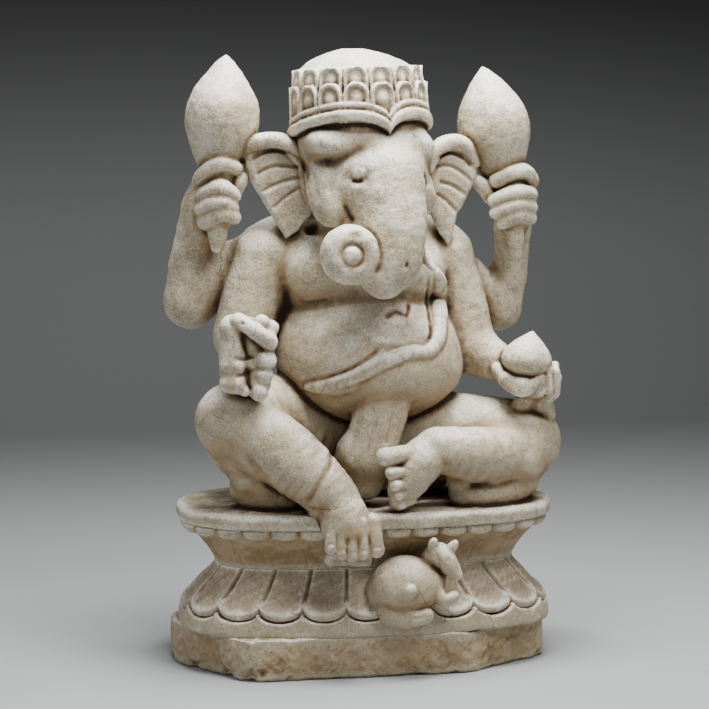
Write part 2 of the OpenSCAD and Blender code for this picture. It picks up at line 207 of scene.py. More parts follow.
def turned(foot, height, radius, widest, tilt=0.0):
    """Distance to a turned form: distance from the axis less the radius at that height, rounded off
    past both ends. tilt leans the axis sideways, in degrees."""
    fx, fy, fz = foot
    c, s = math.cos(math.radians(tilt)), math.sin(math.radians(tilt))

    def distance(X, Y, Z):
        px, py, pz = X - fx, Y - fy, Z - fz
        across, up = px * c - pz * s, px * s + pz * c
        held = np.clip(up, 0, height)
        side = np.sqrt(across ** 2 + py ** 2) - radius(held / height)
        past = np.abs(up - held)
        return np.where(past > 0, np.sqrt(np.maximum(side, 0) ** 2 + past ** 2), side * 0.85)
    lean = abs(s) * height + widest
    low = np.array([fx - lean, fy - widest, fz - widest * abs(s) - 1])
    return Shape(low, np.array([fx + lean, fy + widest, fz + height + 1]), distance)


def strung(points, steps):
    """Smooth curve through rows of numbers: between rows b and c it is the Catmull-Rom cubic of the
    four rows around."""
    p = np.array(points, float)
    if len(p) < 3:
        t = np.linspace(0, 1, steps + 1)[:, None]
        return p[0] * (1 - t) + p[-1] * t
    a, b, c, d = (p[np.clip(np.arange(len(p) - 1) + k, 0, len(p) - 1)][:, None, :] for k in (-1, 0, 1, 2))
    t = (np.arange(steps) / steps)[None, :, None]
    curve = ((2 * b) + (c - a) * t + (2 * a - 5 * b + 4 * c - d) * t ** 2
             + (3 * b - a - 3 * c + d) * t ** 3) / 2
    return np.vstack([curve.reshape(-1, p.shape[1]), p[-1:]])


def limb(points, steps=5):
    """Rods strung along a smooth curve of balls [x, y, height, radius]."""
    beads = strung(points, steps)
    return [cone(a, b) for a, b in zip(beads[:-1], beads[1:])]


def polygon_distance(U, V, outline):
    """Signed distance in a plane to a closed outline: the least distance to its edges, negative
    where an odd number of edges is crossed on the way out."""
    best = np.full(np.broadcast(U, V).shape, 1e9, np.float32)
    inside = np.zeros(best.shape, bool)
    for (ax, ay), (bx, by) in zip(outline, np.roll(outline, -1, axis=0)):
        ex, ey = bx - ax, by - ay
        t = np.clip(((U - ax) * ex + (V - ay) * ey) / max(ex * ex + ey * ey, 1e-9), 0, 1)
        best = np.minimum(best, (U - ax - t * ex) ** 2 + (V - ay - t * ey) ** 2)
        across = (U - ax) * ey - (V - ay) * ex
        inside ^= ((ay <= V) != (by <= V)) & ((across > 0) == (by > ay)) & (across != 0)
    return np.where(inside, -1, 1) * np.sqrt(best)


def line_distance(U, V, path):
    """Distance in a plane to a line of points, and how far along it the nearest point is, 0 to 1."""
    best = np.full(np.broadcast(U, V).shape, 1e9, np.float32)
    along = np.zeros(best.shape, np.float32)
    for i, ((ax, ay), (bx, by)) in enumerate(zip(path[:-1], path[1:])):
        ex, ey = bx - ax, by - ay
        t = np.clip(((U - ax) * ex + (V - ay) * ey) / max(ex * ex + ey * ey, 1e-9), 0, 1)
        d = (U - ax - t * ex) ** 2 + (V - ay - t * ey) ** 2
        along = np.where(d < best, (i + t) / (len(path) - 1), along)
        best = np.minimum(best, d)
    return np.sqrt(best), along


def plate(outline, middle, half, lean, pivot):
    """Distance to a plate cut to an outline seen from the front, rounded at its edge. middle is its
    Y at the pivot, half its half thickness, and lean how much Y grows per millimetre across and up."""
    pts = np.array(outline, float)

    def distance(X, Y, Z):
        flat = polygon_distance(X[:, 0, :], Z[:, 0, :], pts).astype(np.float32)[:, None, :]
        mid = middle + lean[0] * (X - pivot[0]) + lean[1] * (Z - pivot[1])
        across = np.abs(Y - mid) - half
        return np.sqrt(np.maximum(flat + half, 0) ** 2 + np.maximum(across + half, 0) ** 2) - half
    tall = abs(lean[0]) * np.ptp(pts[:, 0]) + abs(lean[1]) * np.ptp(pts[:, 1]) + half
    low = np.array([pts[:, 0].min(), middle - tall, pts[:, 1].min()])
    return Shape(low, np.array([pts[:, 0].max(), middle + tall, pts[:, 1].max()]), distance)


# ---- the block ----

class Block:
    """A block of marble on a grid: the joined distance, the distance to the nearest form, and each
    form's own distance on its own window of the grid."""

    def __init__(self, low, high, pitch):
        self.low = np.array(low, float)
        self.pitch = pitch
        self.shape = tuple(int(n) for n in np.ceil((np.array(high) - self.low) / pitch).astype(int) + 1)
        self.solid = np.full(self.shape, FAR, np.float32)
        self.nearest = np.full(self.shape, FAR, np.float32)
        self.forms = {}
        self.softened = []

    def window(self, low, high, spare=0.0):
        """Slices of the grid that hold a box, with room to spare around it."""
        first = np.floor((np.array(low) - spare - self.low) / self.pitch).astype(int)
        last = np.ceil((np.array(high) + spare - self.low) / self.pitch).astype(int) + 1
        return tuple(slice(int(max(a, 0)), int(min(b, n))) for a, b, n in zip(first, last, self.shape))

    def axes(self, window):
        """Coordinates of a window's points along each axis, shaped so that they spread."""
        x, y, z = (self.low[i] + self.pitch * np.arange(s.start, s.stop) for i, s in enumerate(window))
        return (x[:, None, None].astype(np.float32), y[None, :, None].astype(np.float32),
                z[None, None, :].astype(np.float32))

    def form(self, name, groups, joint):
        """Adds a named form. groups is a list of (shapes, blend): each shape is run into the form
        with that fillet, and the form is then run into the block with the joint's fillet."""
        shapes = [shape for group, _ in groups for shape in group]
        low = np.min([shape.low for shape in shapes], axis=0)
        high = np.max([shape.high for shape in shapes], axis=0)
        window = self.window(low, high, REACH)
        field = np.full([s.stop - s.start for s in window], FAR, np.float32)
        for group, blend in groups:
            for shape in group:
                part = self.window(shape.low, shape.high, REACH)
                inner = tuple(slice(p.start - w.start, p.stop - w.start) for p, w in zip(part, window))
                d = shape.distance(*self.axes(part)).astype(np.float32)
                old = field[inner]
                field[inner] = smooth_min(old, d, blend) if blend else np.minimum(old, d)
        self.forms[name] = (window, field)
        self.solid[window] = smooth_min(self.solid[window], field, max(joint, 0.01))
        self.nearest[window] = np.minimum(self.nearest[window], field)

    def grow(self, name, joint, *points):
        """Adds a form that is one limb through points [x, y, height, radius]."""
        self.form(name, [(limb(points), 0)], joint)

    def front(self, xs, zs):
        """Y of the first stone met from the front at each column of a window."""
        columns = self.solid[xs, :, zs]
        inside = columns < 0
        first = inside.argmax(axis=1)
        y = self.low[1] + self.pitch * first
        return np.where(inside.any(axis=1), y, 1e4).astype(np.float32)

    def laid(self, points, proud):
        """Balls [x, height, radius] laid on the front of the stone, standing proud of it."""
        curve = strung(points, 6)
        out = []
        for x, z, r in curve:
            w = self.window((x - 0.1, 0, z - 0.1), (x + 0.1, 0, z + 0.1))
            out.append((x, float(self.front(w[0], w[2]).min()) + r - proud, z, r))
        return [cone(a, b) for a, b in zip(out[:-1], out[1:])]

    def engrave(self, points, width, depth, taper=0.25):
        """Cuts a line into the front of the stone along points (x, height): the distance grows by a
        bell curve of the line's width and depth. A negative depth raises a ridge."""
        path = strung(points, 8)
        low, high = path.min(axis=0) - 3 * width, path.max(axis=0) + 3 * width
        w = self.window((low[0], self.low[1], low[1]), (high[0], self.low[1] + 1e4, high[1]))
        X, Y, Z = self.axes(w)
        d, along = line_distance(X[:, 0, :], Z[:, 0, :], path)
        ends = np.clip(np.minimum(along, 1 - along) / taper, 0.15, 1) if taper else 1.0
        cut = (depth * ends * np.exp(-(d / width) ** 2)).astype(np.float32)
        front = self.front(w[0], w[2])
        near = np.clip((LINE_REACH - np.abs(Y - front[:, None, :])) / 3, 0, 1)
        self.solid[w] += cut[:, None, :] * near

    def chip(self, shape, edge=1.0):
        """Knocks a shape out of the stone, leaving a soft edge."""
        w = self.window(shape.low, shape.high, REACH)
        d = shape.distance(*self.axes(w)).astype(np.float32)
        self.solid[w] = -smooth_min(-self.solid[w], d, edge)

    def soften(self):
        """Averages of the clipped distance over three sizes of box. On a flat face they are 0, in a
        hollow they are negative and on an edge positive."""
        half = self.solid[::2, ::2, ::2]
        for grid, pitch, size, share in ((self.solid, self.pitch, 3.75, 0.85),
                                         (half, 2 * self.pitch, 7.5, 0.93),
                                         (half, 2 * self.pitch, 15.0, 1.07)):
            mean = np.clip(grid, -size, size)
            reach = max(int(round((size / pitch - 1) / 2)), 1)
            for axis in (0, 1, 2) * 2:
                mean = box_mean(mean, reach, axis)
            self.softened.append((mean, pitch, share * size * ((2 * reach + 1) * pitch / size) ** 2))

    def bend(self, points):
        """How hollow (negative) or edged (positive) the stone is at some points, at each size."""
        return [sample(mean, (points - self.low) / pitch) / size for mean, pitch, size in self.softened]


def box_mean(grid, reach, axis):
    """Mean along one axis over a cell and reach cells either side, from the difference of two running
    sums."""
    n = grid.shape[axis]
    total = np.cumsum(grid, axis=axis, dtype=np.float32)
    low = np.clip(np.arange(n) - reach - 1, 0, n - 1)
    high = np.clip(np.arange(n) + reach, 0, n - 1)
    shape = [1, 1, 1]
    shape[axis] = n
    return ((np.take(total, high, axis=axis) - np.take(total, low, axis=axis))
            / np.maximum(high - low, 1).reshape(shape).astype(np.float32))


CORNERS = np.array([(i, j, k) for i in (0, 1) for j in (0, 1) for k in (0, 1)])
EDGES = [(a, b) for a in range(8) for b in range(a + 1, 8) if np.abs(CORNERS[a] - CORNERS[b]).sum() == 1]


def skin(field):
    """Closed skin where a field changes sign. Each cell that the skin crosses gets one point, the
    mean of the crossings on its edges, and each grid edge that is crossed gets a face of the four
    cells around it. Returns points in cells and faces of four."""
    inside = field < 0
    nx, ny, nz = (n - 1 for n in field.shape)
    count = np.zeros((nx, ny, nz), np.uint8)
    for i, j, k in CORNERS:
        count += inside[i:nx + i, j:ny + j, k:nz + k]
    cells = np.argwhere((count > 0) & (count < 8))
    number = np.full((nx, ny, nz), -1, np.int32)
    number[tuple(cells.T)] = np.arange(len(cells), dtype=np.int32)
    values = np.stack([field[tuple((cells + c).T)] for c in CORNERS])
    total = np.zeros((len(cells), 3))
    hits = np.zeros(len(cells))
    for a, b in EDGES:
        va, vb = values[a], values[b]
        crossed = (va < 0) != (vb < 0)
        t = np.where(crossed, va / np.where(crossed, va - vb, 1), 0)[:, None]
        total += np.where(crossed[:, None], CORNERS[a] + t * (CORNERS[b] - CORNERS[a]), 0)
        hits += crossed
    points = cells + total / np.maximum(hits, 1)[:, None]
    faces = []
    for axis in range(3):
        one, two = (axis + 1) % 3, (axis + 2) % 3
        near = [slice(1, n - 1) for n in field.shape]
        near[axis] = slice(0, field.shape[axis] - 1)
        past = list(near)
        past[axis] = slice(1, field.shape[axis])
        low, high = inside[tuple(near)], inside[tuple(past)]
        at = np.argwhere(low != high) + [0 if a == axis else 1 for a in range(3)]
        if not len(at):
            continue
        outward = inside[tuple(at.T)]
        ring = []
        for da, db in ((1, 1), (0, 1), (0, 0), (1, 0)):
            cell = at.copy()
            cell[:, one] -= da
            cell[:, two] -= db
            ring.append(number[tuple(cell.T)])
        ring = np.stack(ring, axis=1)
        faces.append(np.where(outward[:, None], ring, ring[:, ::-1]))
    return points, np.vstack(faces)


def sample(grid, at):
    """Value of a grid at points given in cells, shared between the eight cells around."""
    at = np.clip(at, 0, np.array(grid.shape) - 1.001)
    i = at.astype(np.int32)
    f = (at - i).astype(np.float32)
    x, y, z = i.T
    fx, fy, fz = f.T
    total = 0
    for cx, cy, cz in CORNERS:
        share = (fx if cx else 1 - fx) * (fy if cy else 1 - fy) * (fz if cz else 1 - fz)
        total = total + grid[x + cx, y + cy, z + cz] * share
    return total


def slope(grid, at, step=0.6):
    """Slope of a grid at points: the difference of its values a step to either side."""
    parts = []
    for axis in range(3):
        by = np.zeros(3)
        by[axis] = step
        parts.append((sample(grid, at + by) - sample(grid, at - by)) / (2 * step))
    return np.stack(parts, axis=1)


def ripple(points, length, seed, waves=14):
    """Smooth unevenness, about -1 to 1: the sum of plane waves of about one length, whose
    directions and phases are drawn at random from the seed."""
    rng = np.random.default_rng(seed)
    way = rng.normal(size=(3, waves))
    way *= (2 * math.pi / length) * rng.uniform(0.6, 1.6, waves) / np.linalg.norm(way, axis=0)
    return np.sin(points @ way + rng.uniform(0, 2 * math.pi, waves)).sum(axis=1) / math.sqrt(2 * waves)


def ease(x, low, high):
    """Goes smoothly from 0 at low to 1 at high: 3 t squared less 2 t cubed."""
    t = np.clip((x - low) / (high - low), 0, 1)
    return t * t * (3 - 2 * t)


# ---- meshes ----

def make_piece(name, points, faces, traits):
    """A closed mesh of four-sided faces from points in carving millimetres, with its traits, one
    number a point, as attributes for the material of its node's slot."""
    nodes = PIECE_NODES.get(name, [name])
    slot = slot_of(nodes[0])
    mesh = bpy.data.meshes.new(name)
    place = np.array(points, float)
    place[:, 2] += SEAT
    mesh.vertices.add(len(place))
    mesh.vertices.foreach_set("co", (place * MM).astype(np.float32).ravel())
    mesh.loops.add(faces.size)
    mesh.loops.foreach_set("vertex_index", faces.astype(np.int32).ravel())
    mesh.polygons.add(len(faces))
    mesh.polygons.foreach_set("loop_start", np.arange(0, faces.size, faces.shape[1], dtype=np.int32))
    mesh.polygons.foreach_set("use_smooth", np.ones(len(faces), bool))
    mesh.update(calc_edges=True)
    mesh.validate()
    for trait, values in traits.items():
        mesh.attributes.new(trait, "FLOAT", "POINT").data.foreach_set("value", values.astype(np.float32))
    mesh.materials.append(CARVING[slot])
    piece = bpy.data.objects.new(name, mesh)
    bpy.context.scene.collection.objects.link(piece)
    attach(piece, "root")
    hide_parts(*nodes)
    return piece


def uneven_cut(points):
    """Unevenness of the hand-cut surface: broad, middle and fine ripples."""
    return ripple(points, 38, 1) + 0.5 * ripple(points, 13, 2) + 0.22 * ripple(points, 5.5, 3)


def take_off(block, name, size):
    """Takes a form's skin off the block as a piece. Where another form is nearer, the skin sinks a
    hair under it and then dives. The points are moved onto the surface along its slope, then
    unevenly in or out."""
    window, field = block.forms[name]
    past = np.maximum(field - block.nearest[window], 0)
    field = block.solid[window] + SINK * past + DIVE * np.maximum(past - 2.2 * block.pitch, 0)
    field = np.pad(field, 1, constant_values=FAR)
    at, faces = skin(field)
    for _ in range(2):
        rise = slope(field, at)
        steep = np.maximum((rise ** 2).sum(axis=1), 0.2)
        step = rise * (sample(field, at) / steep)[:, None]
        at = at - np.clip(step, -0.5, 0.5)
    rise = slope(field, at)
    normal = rise / np.maximum(np.linalg.norm(rise, axis=1), 1e-6)[:, None]
    start = np.array([w.start for w in window]) - 1
    points = block.low + block.pitch * (at + start)
    uneven = uneven_cut(points)
    fine, middle, broad = block.bend(points)
    traits = {"crease": -fine, "hollow": -middle, "deep": -broad, "up": normal[:, 2]}
    points = points + normal * (size * uneven * (1 - 0.6 * ease(-fine, 0.05, 0.25)))[:, None]
    return make_piece(name, points, faces, traits)


def outline_angles(columns, shift):
    """Angles round the base's outline at even distances along it, from the front, counterclockwise."""
    a = np.radians(np.linspace(-90, 270, 4001))
    x, y = outline(a, 0)
    walked = np.concatenate([[0], np.cumsum(np.hypot(np.diff(x), np.diff(y)))])
    along = (np.arange(columns) / columns * walked[-1] + shift) % walked[-1]
    return np.interp(along, walked, a), walked[-1]


def outline(a, inset):
    """Rounded outline: both half widths, drawn in by the inset, times the cosine and sine raised to
    2 / power."""
    c, s = np.cos(a), np.sin(a)
    power = 2 / OUTLINE_POWER
    x = BASE_SHIFT + (BASE_HALF_W - inset) * np.sign(c) * np.abs(c) ** power
    return x, (BASE_HALF_D - inset) * np.sign(s) * np.abs(s) ** power


def ringed(rows, place):
    """Closed surface of rings, from the one at the bottom to the one at the top. rows is a list of
    (inset, height), each a number or one for each column, and place turns an inset into x and y.
    The first and last rings are closed to their middles by rings that shrink to a point."""
    rings = []
    for inset, height in rows:
        x, y = place(inset)
        rings.append(np.stack([x, y, height + 0 * x], axis=1))

    def shrunk(ring, shares):
        middle = ring.mean(axis=0)
        return [middle + (ring - middle) * [share, share, 1 if share > 0.9 else share]
                for share in shares]
    shares = (0.94, 0.8, 0.6, 0.35, 0.12)
    grid = np.array(shrunk(rings[0], shares[::-1]) + rings + shrunk(rings[-1], shares))
    count, columns = grid.shape[:2]
    k = np.arange(count - 1)[:, None] * columns
    i = np.arange(columns)[None, :]
    j = (i + 1) % columns
    faces = np.stack([k + i, k + j, k + columns + j, k + columns + i], axis=2).reshape(-1, 4)
    ends = np.array([grid[0].mean(axis=0), grid[-1].mean(axis=0)])
    points = np.vstack([grid.reshape(-1, 3), ends])
    bottom, top = len(points) - 2, len(points) - 1
    last = (count - 1) * columns
    half = np.arange(0, columns, 2)
    low_cap = np.stack([np.full(len(half), bottom), (half + 2) % columns, half + 1, half], axis=1)
    high_cap = np.stack([np.full(len(half), top), last + half, last + half + 1,
                         last + (half + 2) % columns], axis=1)
    return points, np.vstack([faces, low_cap, high_cap]), grid.shape[:2]


def face_normals(points, faces):
    """Normal at each point: the sum of the faces' normals around it, from their diagonals' cross."""
    a, b, c, d = (points[faces[:, k]] for k in range(4))
    normal = np.cross(c - a, d - b)
    total = np.stack([np.bincount(faces.ravel(), np.repeat(normal[:, k], 4), len(points))
                      for k in range(3)], axis=1)
    return total / np.maximum(np.linalg.norm(total, axis=1), 1e-9)[:, None]


def ring_bend(points, normal, shape, steps):
    """How hollow a ringed surface is: how far the mean of the points a few steps away along the
    rings and across them stands proud of the surface, over the distance to them."""
    rows, columns = shape
    grid = points[:rows * columns].reshape(rows, columns, 3)
    out = normal[:rows * columns].reshape(rows, columns, 3)
    near = [np.roll(grid, steps, axis=1), np.roll(grid, -steps, axis=1)]
    index = np.arange(rows)
    near += [grid[np.clip(index + steps, 0, rows - 1)], grid[np.clip(index - steps, 0, rows - 1)]]
    away = sum(((p - grid) * out).sum(axis=2) for p in near)
    far = sum(np.linalg.norm(p - grid, axis=2) for p in near)
    bend = (away / np.maximum(far, 1e-6)).reshape(-1)
    return np.concatenate([bend, [0, 0]])


def base_piece(name, rows, place, size, rough=0.0, dents=(), block=None):
    """A piece of the base: a ringed surface made uneven along its normals, with dents knocked in.
    dents are (x, y, height, radius). Where the figure's block is given, the surface rises into the
    fillet around the figure, and its hollows add to the piece's own."""
    points, faces, shape = ringed(rows, place)
    normal = face_normals(points, faces)
    uneven = size * uneven_cut(points)
    if rough:
        uneven = uneven + rough * (ripple(points, 46, 4) + 0.7 * np.abs(ripple(points, 19, 5))
                                   + 0.35 * ripple(points, 8, 6)) - 0.6 * rough
    for x, y, z, r in dents:
        d = np.sqrt(((points - [x, y, z]) ** 2).sum(axis=1)) + 1.6 * ripple(points, 9, int(abs(x)) + 7)
        uneven = uneven - 0.8 * np.maximum(r - d, 0)
    points = points + normal * uneven[:, None]
    points[:, 2] = np.maximum(points[:, 2], FLOOR_H)
    normal = face_normals(points, faces)
    crease = 0.75 * ring_bend(points, normal, shape, 2)
    hollow = 0.25 * ring_bend(points, normal, shape, 5)
    deep = 0.12 * ring_bend(points, normal, shape, 10)
    if block is not None:
        solid = sample(block.solid, (points - block.low) / block.pitch)
        held = (points[:, 2] > -0.9) & (solid < 20)
        points[:, 2] += np.where(held & (normal[:, 2] > 0.7), np.clip(-solid - 0.15, 0, 2.2), 0)
        fine, middle, broad = block.bend(points)
        crease = np.where(held, np.maximum(crease, -fine), crease)
        hollow = np.where(held, np.maximum(hollow, -middle), hollow)
        deep = np.where(held, np.maximum(deep, -broad), deep)
    traits = {"crease": crease, "hollow": hollow, "deep": deep, "up": normal[:, 2]}
    return make_piece(name, points, faces, traits)


# ---- shader maths ----

class Wire:
    """An output socket, or a number, that takes part in sums: each operator adds a Math node."""

    def __init__(self, shader, value):
        self.shader = shader
        self.value = value

    def math(self, operation, *others):
        """A Math node over this value and the others."""
        values = {i: getattr(o, "value", o) for i, o in enumerate((self,) + others)}
        return self.shader.node("ShaderNodeMath", {"operation": operation}, values)

    def __add__(self, other):
        return self.math("ADD", other)

    def __sub__(self, other):
        return self.math("SUBTRACT", other)

    def __mul__(self, other):
        return self.math("MULTIPLY", other)

    def __rsub__(self, other):
        return Wire(self.shader, other).math("SUBTRACT", self)

    __radd__ = __add__
    __rmul__ = __mul__

    def high(self, other):
        return self.math("MAXIMUM", other)

    def low(self, other):
        return self.math("MINIMUM", other)

    def eased(self, low, high, to=1.0):
        """0 below low, to above high, and smooth between."""
        ranges = {"Value": self.value, "From Min": low, "From Max": high, "To Min": 0.0, "To Max": to}
        return self.shader.node("ShaderNodeMapRange", {"interpolation_type": "SMOOTHSTEP"}, ranges)


class Shader:
    """A material's node tree, built by short calls."""

    def __init__(self, name):
        self.material = bpy.data.materials.new(name)
        self.material.use_nodes = True
        self.tree = self.material.node_tree
        self.tree.nodes.clear()

    def node(self, kind, settings=None, values=None, output=0):
        """Any node, with its settings, the values or links of its inputs, and one output."""
        made = self.tree.nodes.new(kind)
        for name, value in (settings or {}).items():
            setattr(made, name, value)
        for key, value in (values or {}).items():
            value = getattr(value, "value", value)
            if isinstance(value, bpy.types.NodeSocket):
                self.tree.links.new(value, made.inputs[key])
            elif made.inputs[key].type == "RGBA":
                made.inputs[key].default_value = (*value[:3], 1)
            else:
                made.inputs[key].default_value = value
        return Wire(self, made.outputs[output]) if made.outputs else None

    def place(self):
        """Place in the object's own coordinates."""
        return self.node("ShaderNodeTexCoord", output="Object")

    def trait(self, name):
        """A number that the mesh holds at each point."""
        return self.node("ShaderNodeAttribute", {"attribute_name": name}, output="Fac")

    def noise(self, place, scale, detail, rough, distort=0.0):
        """Soft noise of about one over the scale in metres."""
        return self.node("ShaderNodeTexNoise", {}, {
            "Vector": place, "Scale": scale, "Detail": detail, "Roughness": rough,
            "Distortion": distort}, "Fac")

    def cells(self, place, scale, feature="F1"):
        """Distance to the nearest of scattered points, or to the edge between two."""
        return self.node("ShaderNodeTexVoronoi", {"feature": feature},
                         {"Vector": place, "Scale": scale}, "Distance")

    def mix(self, share, a, b):
        """Colour a, going over to b as the share goes from 0 to 1."""
        return self.node("ShaderNodeMix", {"data_type": "RGBA"}, {0: share, 6: a, 7: b}, 2)


def marble(name, colours, soiled, bright, coarse):
    """Old marble. Clean stone has a fine two-tone grain and soft clouds. Patina gathers in broad hollows, and
    faces turned downwards get patina colour as painted shade under forms. Grime and painted shade darken
    creases and deep recesses. Edges are worn bright, and faces turned upwards are painted brighter as light
    from above. The stone is painted darker towards the floor, as shade where light falls off with height and
    partly as dirt. soiled moves the patina's spread, bright the wear and painted top light, and coarse the
    depth of the relief."""
    s = Shader(name)
    at = s.place()
    crease, hollow, deep, up = (s.trait(t) for t in ("crease", "hollow", "deep", "up"))
    clouds = s.noise(at, 11, 4, 0.6)
    patches = s.noise(at, 38, 5, 0.62, 0.4)
    mottle = s.noise(at, 130, 4, 0.6)
    grain = s.noise(at, 520, 3, 0.6)
    grit = s.noise(at, 1500, 2, 0.5)
    specks = s.cells(at, 260)
    pits = (1 - specks.eased(0.08, 0.26)) * mottle.eased(0.48, 0.6)
    swirl = s.node("ShaderNodeTexNoise", {}, {"Vector": at, "Scale": 24.0, "Detail": 4.0}, "Color")
    warped = s.mix(0.035, at, swirl)
    crack = (1 - s.cells(warped, 17, "DISTANCE_TO_EDGE").eased(0.0, 0.012)) * clouds.eased(0.56, 0.62)

    tone = grain * 0.5 + mottle * 0.35 + patches * 0.35 + grit * 0.25
    stone = s.mix(tone.eased(0.60, 0.82), colours.shade, colours.clean)
    stone = s.mix(clouds.eased(0.42, 0.62, 0.3), stone, CLOUDED)
    ends = s.node("ShaderNodeSeparateXYZ", {}, {"Vector": at}, "Z")
    below = 1 - ends.eased(0.04, 0.46)
    # painted shade: the stone is darkened towards the floor, standing in for light falling off with height,
    # and partly for dirt
    stone = s.mix(below * 0.55, stone, LOW_SHADE_AND_DIRT)
    # painted light: faces turned upwards are added to the wear and painted brighter, standing in for light
    # from above; the bright edges are real wear
    top = up.eased(-0.1, 0.95)
    edge = (0 - crease).low(0.09) * 3.0 + (0 - hollow).low(0.13) * 2.2
    wear_and_top_light = (edge + patches * 1.3 + top * 0.7 - below * 0.35 + bright).eased(0.8, 1.5, 0.9)
    stone = s.mix(wear_and_top_light * grain.eased(0.25, 0.55), stone, colours.worn)
    bruise = s.noise(at, 75, 5, 0.7).eased(0.64, 0.70, 0.55)
    stone = s.mix(bruise * grain.eased(0.3, 0.6), stone, BRUISED)

    # painted shade: faces turned downwards get patina colour, standing in for the shade under forms; the
    # patina in hollows and creases is real
    under = (0 - up).eased(-0.3, 0.75)
    patina_and_shade = (crease.high(-0.05) * 1.7 + hollow.high(-0.07) * 4.6 + deep * 3.4 + under * 0.55
             + patches * 1.0 + clouds * 0.7 + below * 0.25 + soiled)
    patina_and_shade_share = patina_and_shade.eased(0.86, 1.5, 0.94) * mottle.eased(0.15, 0.56)
    stone = s.mix(patina_and_shade_share, stone, s.mix(patches.eased(0.35, 0.65), colours.patina, RUSTY))
    # painted shade: creases, hollows and deep recesses are darkened towards near-black, standing in for the
    # shade that falls in them, along with real grime
    dirt_and_shade = (crease * 2.3 + hollow * 5.0 + deep * 5.6 + mottle * 0.9 + patches * 0.6 + soiled * 0.5
            + below * 0.1)
    filth_and_shade = dirt_and_shade.eased(1.1, 2.4, 0.96)
    stone = s.mix(filth_and_shade, stone, colours.grime_and_shade)
    stone = s.mix(pits * 0.6, stone, colours.grime_and_shade)
    stone = s.mix(crack * 0.5, stone, colours.grime_and_shade)

    relief = grain * 0.5 + mottle * 1.1 + grit * 0.14 - pits * 0.8 - crack * 0.5
    bump = s.node("ShaderNodeBump", {}, {"Strength": 0.7, "Distance": 0.001 * coarse, "Height": relief})
    rough = (0.46 + grain * 0.12 + patina_and_shade_share * 0.2 + filth_and_shade * 0.2) - wear_and_top_light * 0.1
    surface = s.node("ShaderNodeBsdfPrincipled", {}, {
        "Base Color": stone, "Roughness": rough, "Normal": bump, "Specular IOR Level": 0.4})
    s.node("ShaderNodeOutputMaterial", {}, {"Surface": surface})
    return s.material


# ---- the carving ----

# the block and the materials, handed from step to step
CARVING = {}
# the nodes of the two slots that aren't plain carved marble
TAKEN = {
    "rough_marble": ("plinth", "plinth_ledge"),
    "worn_marble": (
        "seat_slab", "loincloth", "sacred_thread", "right_foot", "left_foot", "front_right_hand",
        "front_left_hand", "sweet", "rear_right_bud", "rear_left_bud", "head", "trunk", "trunk_curl",
        "right_tusk", "left_tusk", "crown_band", "crown_dome", "crown_petals", "mouse_head"),
}
# pieces that stand for more than one node
PIECE_NODES = {
    "lotus_lower_tier": ["lower_tier", "lower_petals"],
    "lotus_upper_tier": ["upper_tier", "upper_petals"],
}


def slot_of(node):
    """The record's material slot of a node."""
    for slot, nodes in TAKEN.items():
        if node in nodes:
            return slot
    return "carved_marble"


def figure():
    """The block that the figure is carved from, with the bed that it sits on."""
    if "figure" not in CARVING:
        block = Block((-196, -134, -50), (208, 104, 464), sizes().pitch)

        def bed(X, Y, Z):
            reach = ((np.abs(X - BASE_SHIFT) / BASE_HALF_W) ** OUTLINE_POWER
                     + (np.abs(Y) / BASE_HALF_D) ** OUTLINE_POWER) ** (1 / OUTLINE_POWER)
            under = np.maximum(SLAB_H - Z, 0)
            inset = np.where(under > 0, 7 + 0.72 * under, 0)
            return np.maximum((reach - 1) * BASE_HALF_D + inset, Z)
        low = np.array([BASE_SHIFT - BASE_HALF_W, -BASE_HALF_D, block.low[2]])
        high = np.array([BASE_SHIFT + BASE_HALF_W, BASE_HALF_D, 0.0])
        block.form("bed", [([Shape(low, high, bed)], 0)], 0)
        CARVING["figure"] = block
    return CARVING["figure"]


def sizes():
    """The sizes that the user can change."""
    return bpy.context.scene.idol_sizes


def colours():
    """The colours that the user can change."""
    return bpy.context.scene.idol_colours


class IDOL_OT_torso(bpy.types.Operator):
    """Roughs out the hips, belly, chest, loincloth and sacred thread"""
    bl_idname = "idol.torso"
    bl_label = "Torso"

    def execute(self, context):
        block = figure()
        block.grow("hips", 2, (-58, 26, 44, 46), (5, 30, 46, 54), (66, 24, 44, 46))
        block.form("belly", [([egg((11, -5, 134), (93, 77, 59)), egg((9, 6, 164), (85, 67, 54))], 22)], 5)
        shoulders = limb([(-90, 22, 238, 29), (-52, 22, 243, 36), (5, 18, 248, 42), (52, 22, 241, 36),
                          (90, 22, 238, 28)])
        breasts = [egg((-38, -17, 226), (38, 30, 29)), egg((46, -18, 226), (36, 30, 29))]
        block.form("chest", [
            ([egg((6, 14, 214), (82, 58, 60))], 0), (shoulders, 14),
            (limb([(6, 12, 240, 44), (5, 6, 278, 44)]), 12), (breasts, 12),
            ([cone((-74, 22, 218, 22), (-72, 22, 176, 22)),
              cone((78, 22, 214, 20), (78, 22, 176, 20))], 6)], 7)
        cloth = [cone((3, -56, 106, 12), (-16, -62, 52, 12)), cone((30, -56, 106, 12), (14, -62, 48, 12)),
                 cone((16, -58, 108, 13), (-1, -65, 48, 13)), cone((-16, -58, 54, 13), (-30, -50, 26, 12)),
                 cone((8, -58, 52, 14), (0, -52, 20, 14)), cone((-12, -56, 52, 14), (-14, -50, 22, 14))]
        block.form("loincloth", [(cloth, 12)], 6)
        band = block.laid([(70, 226, 4), (75, 206, 11), (73, 180, 10), (67, 160, 8), (54, 149, 7.5),
                           (38, 150, 8), (14, 142, 12), (-10, 131, 13), (-32, 122, 11), (-58, 117, 4)], 2.2)
        block.form("sacred_thread", [(band, 2)], 1.6)
        return {"FINISHED"}


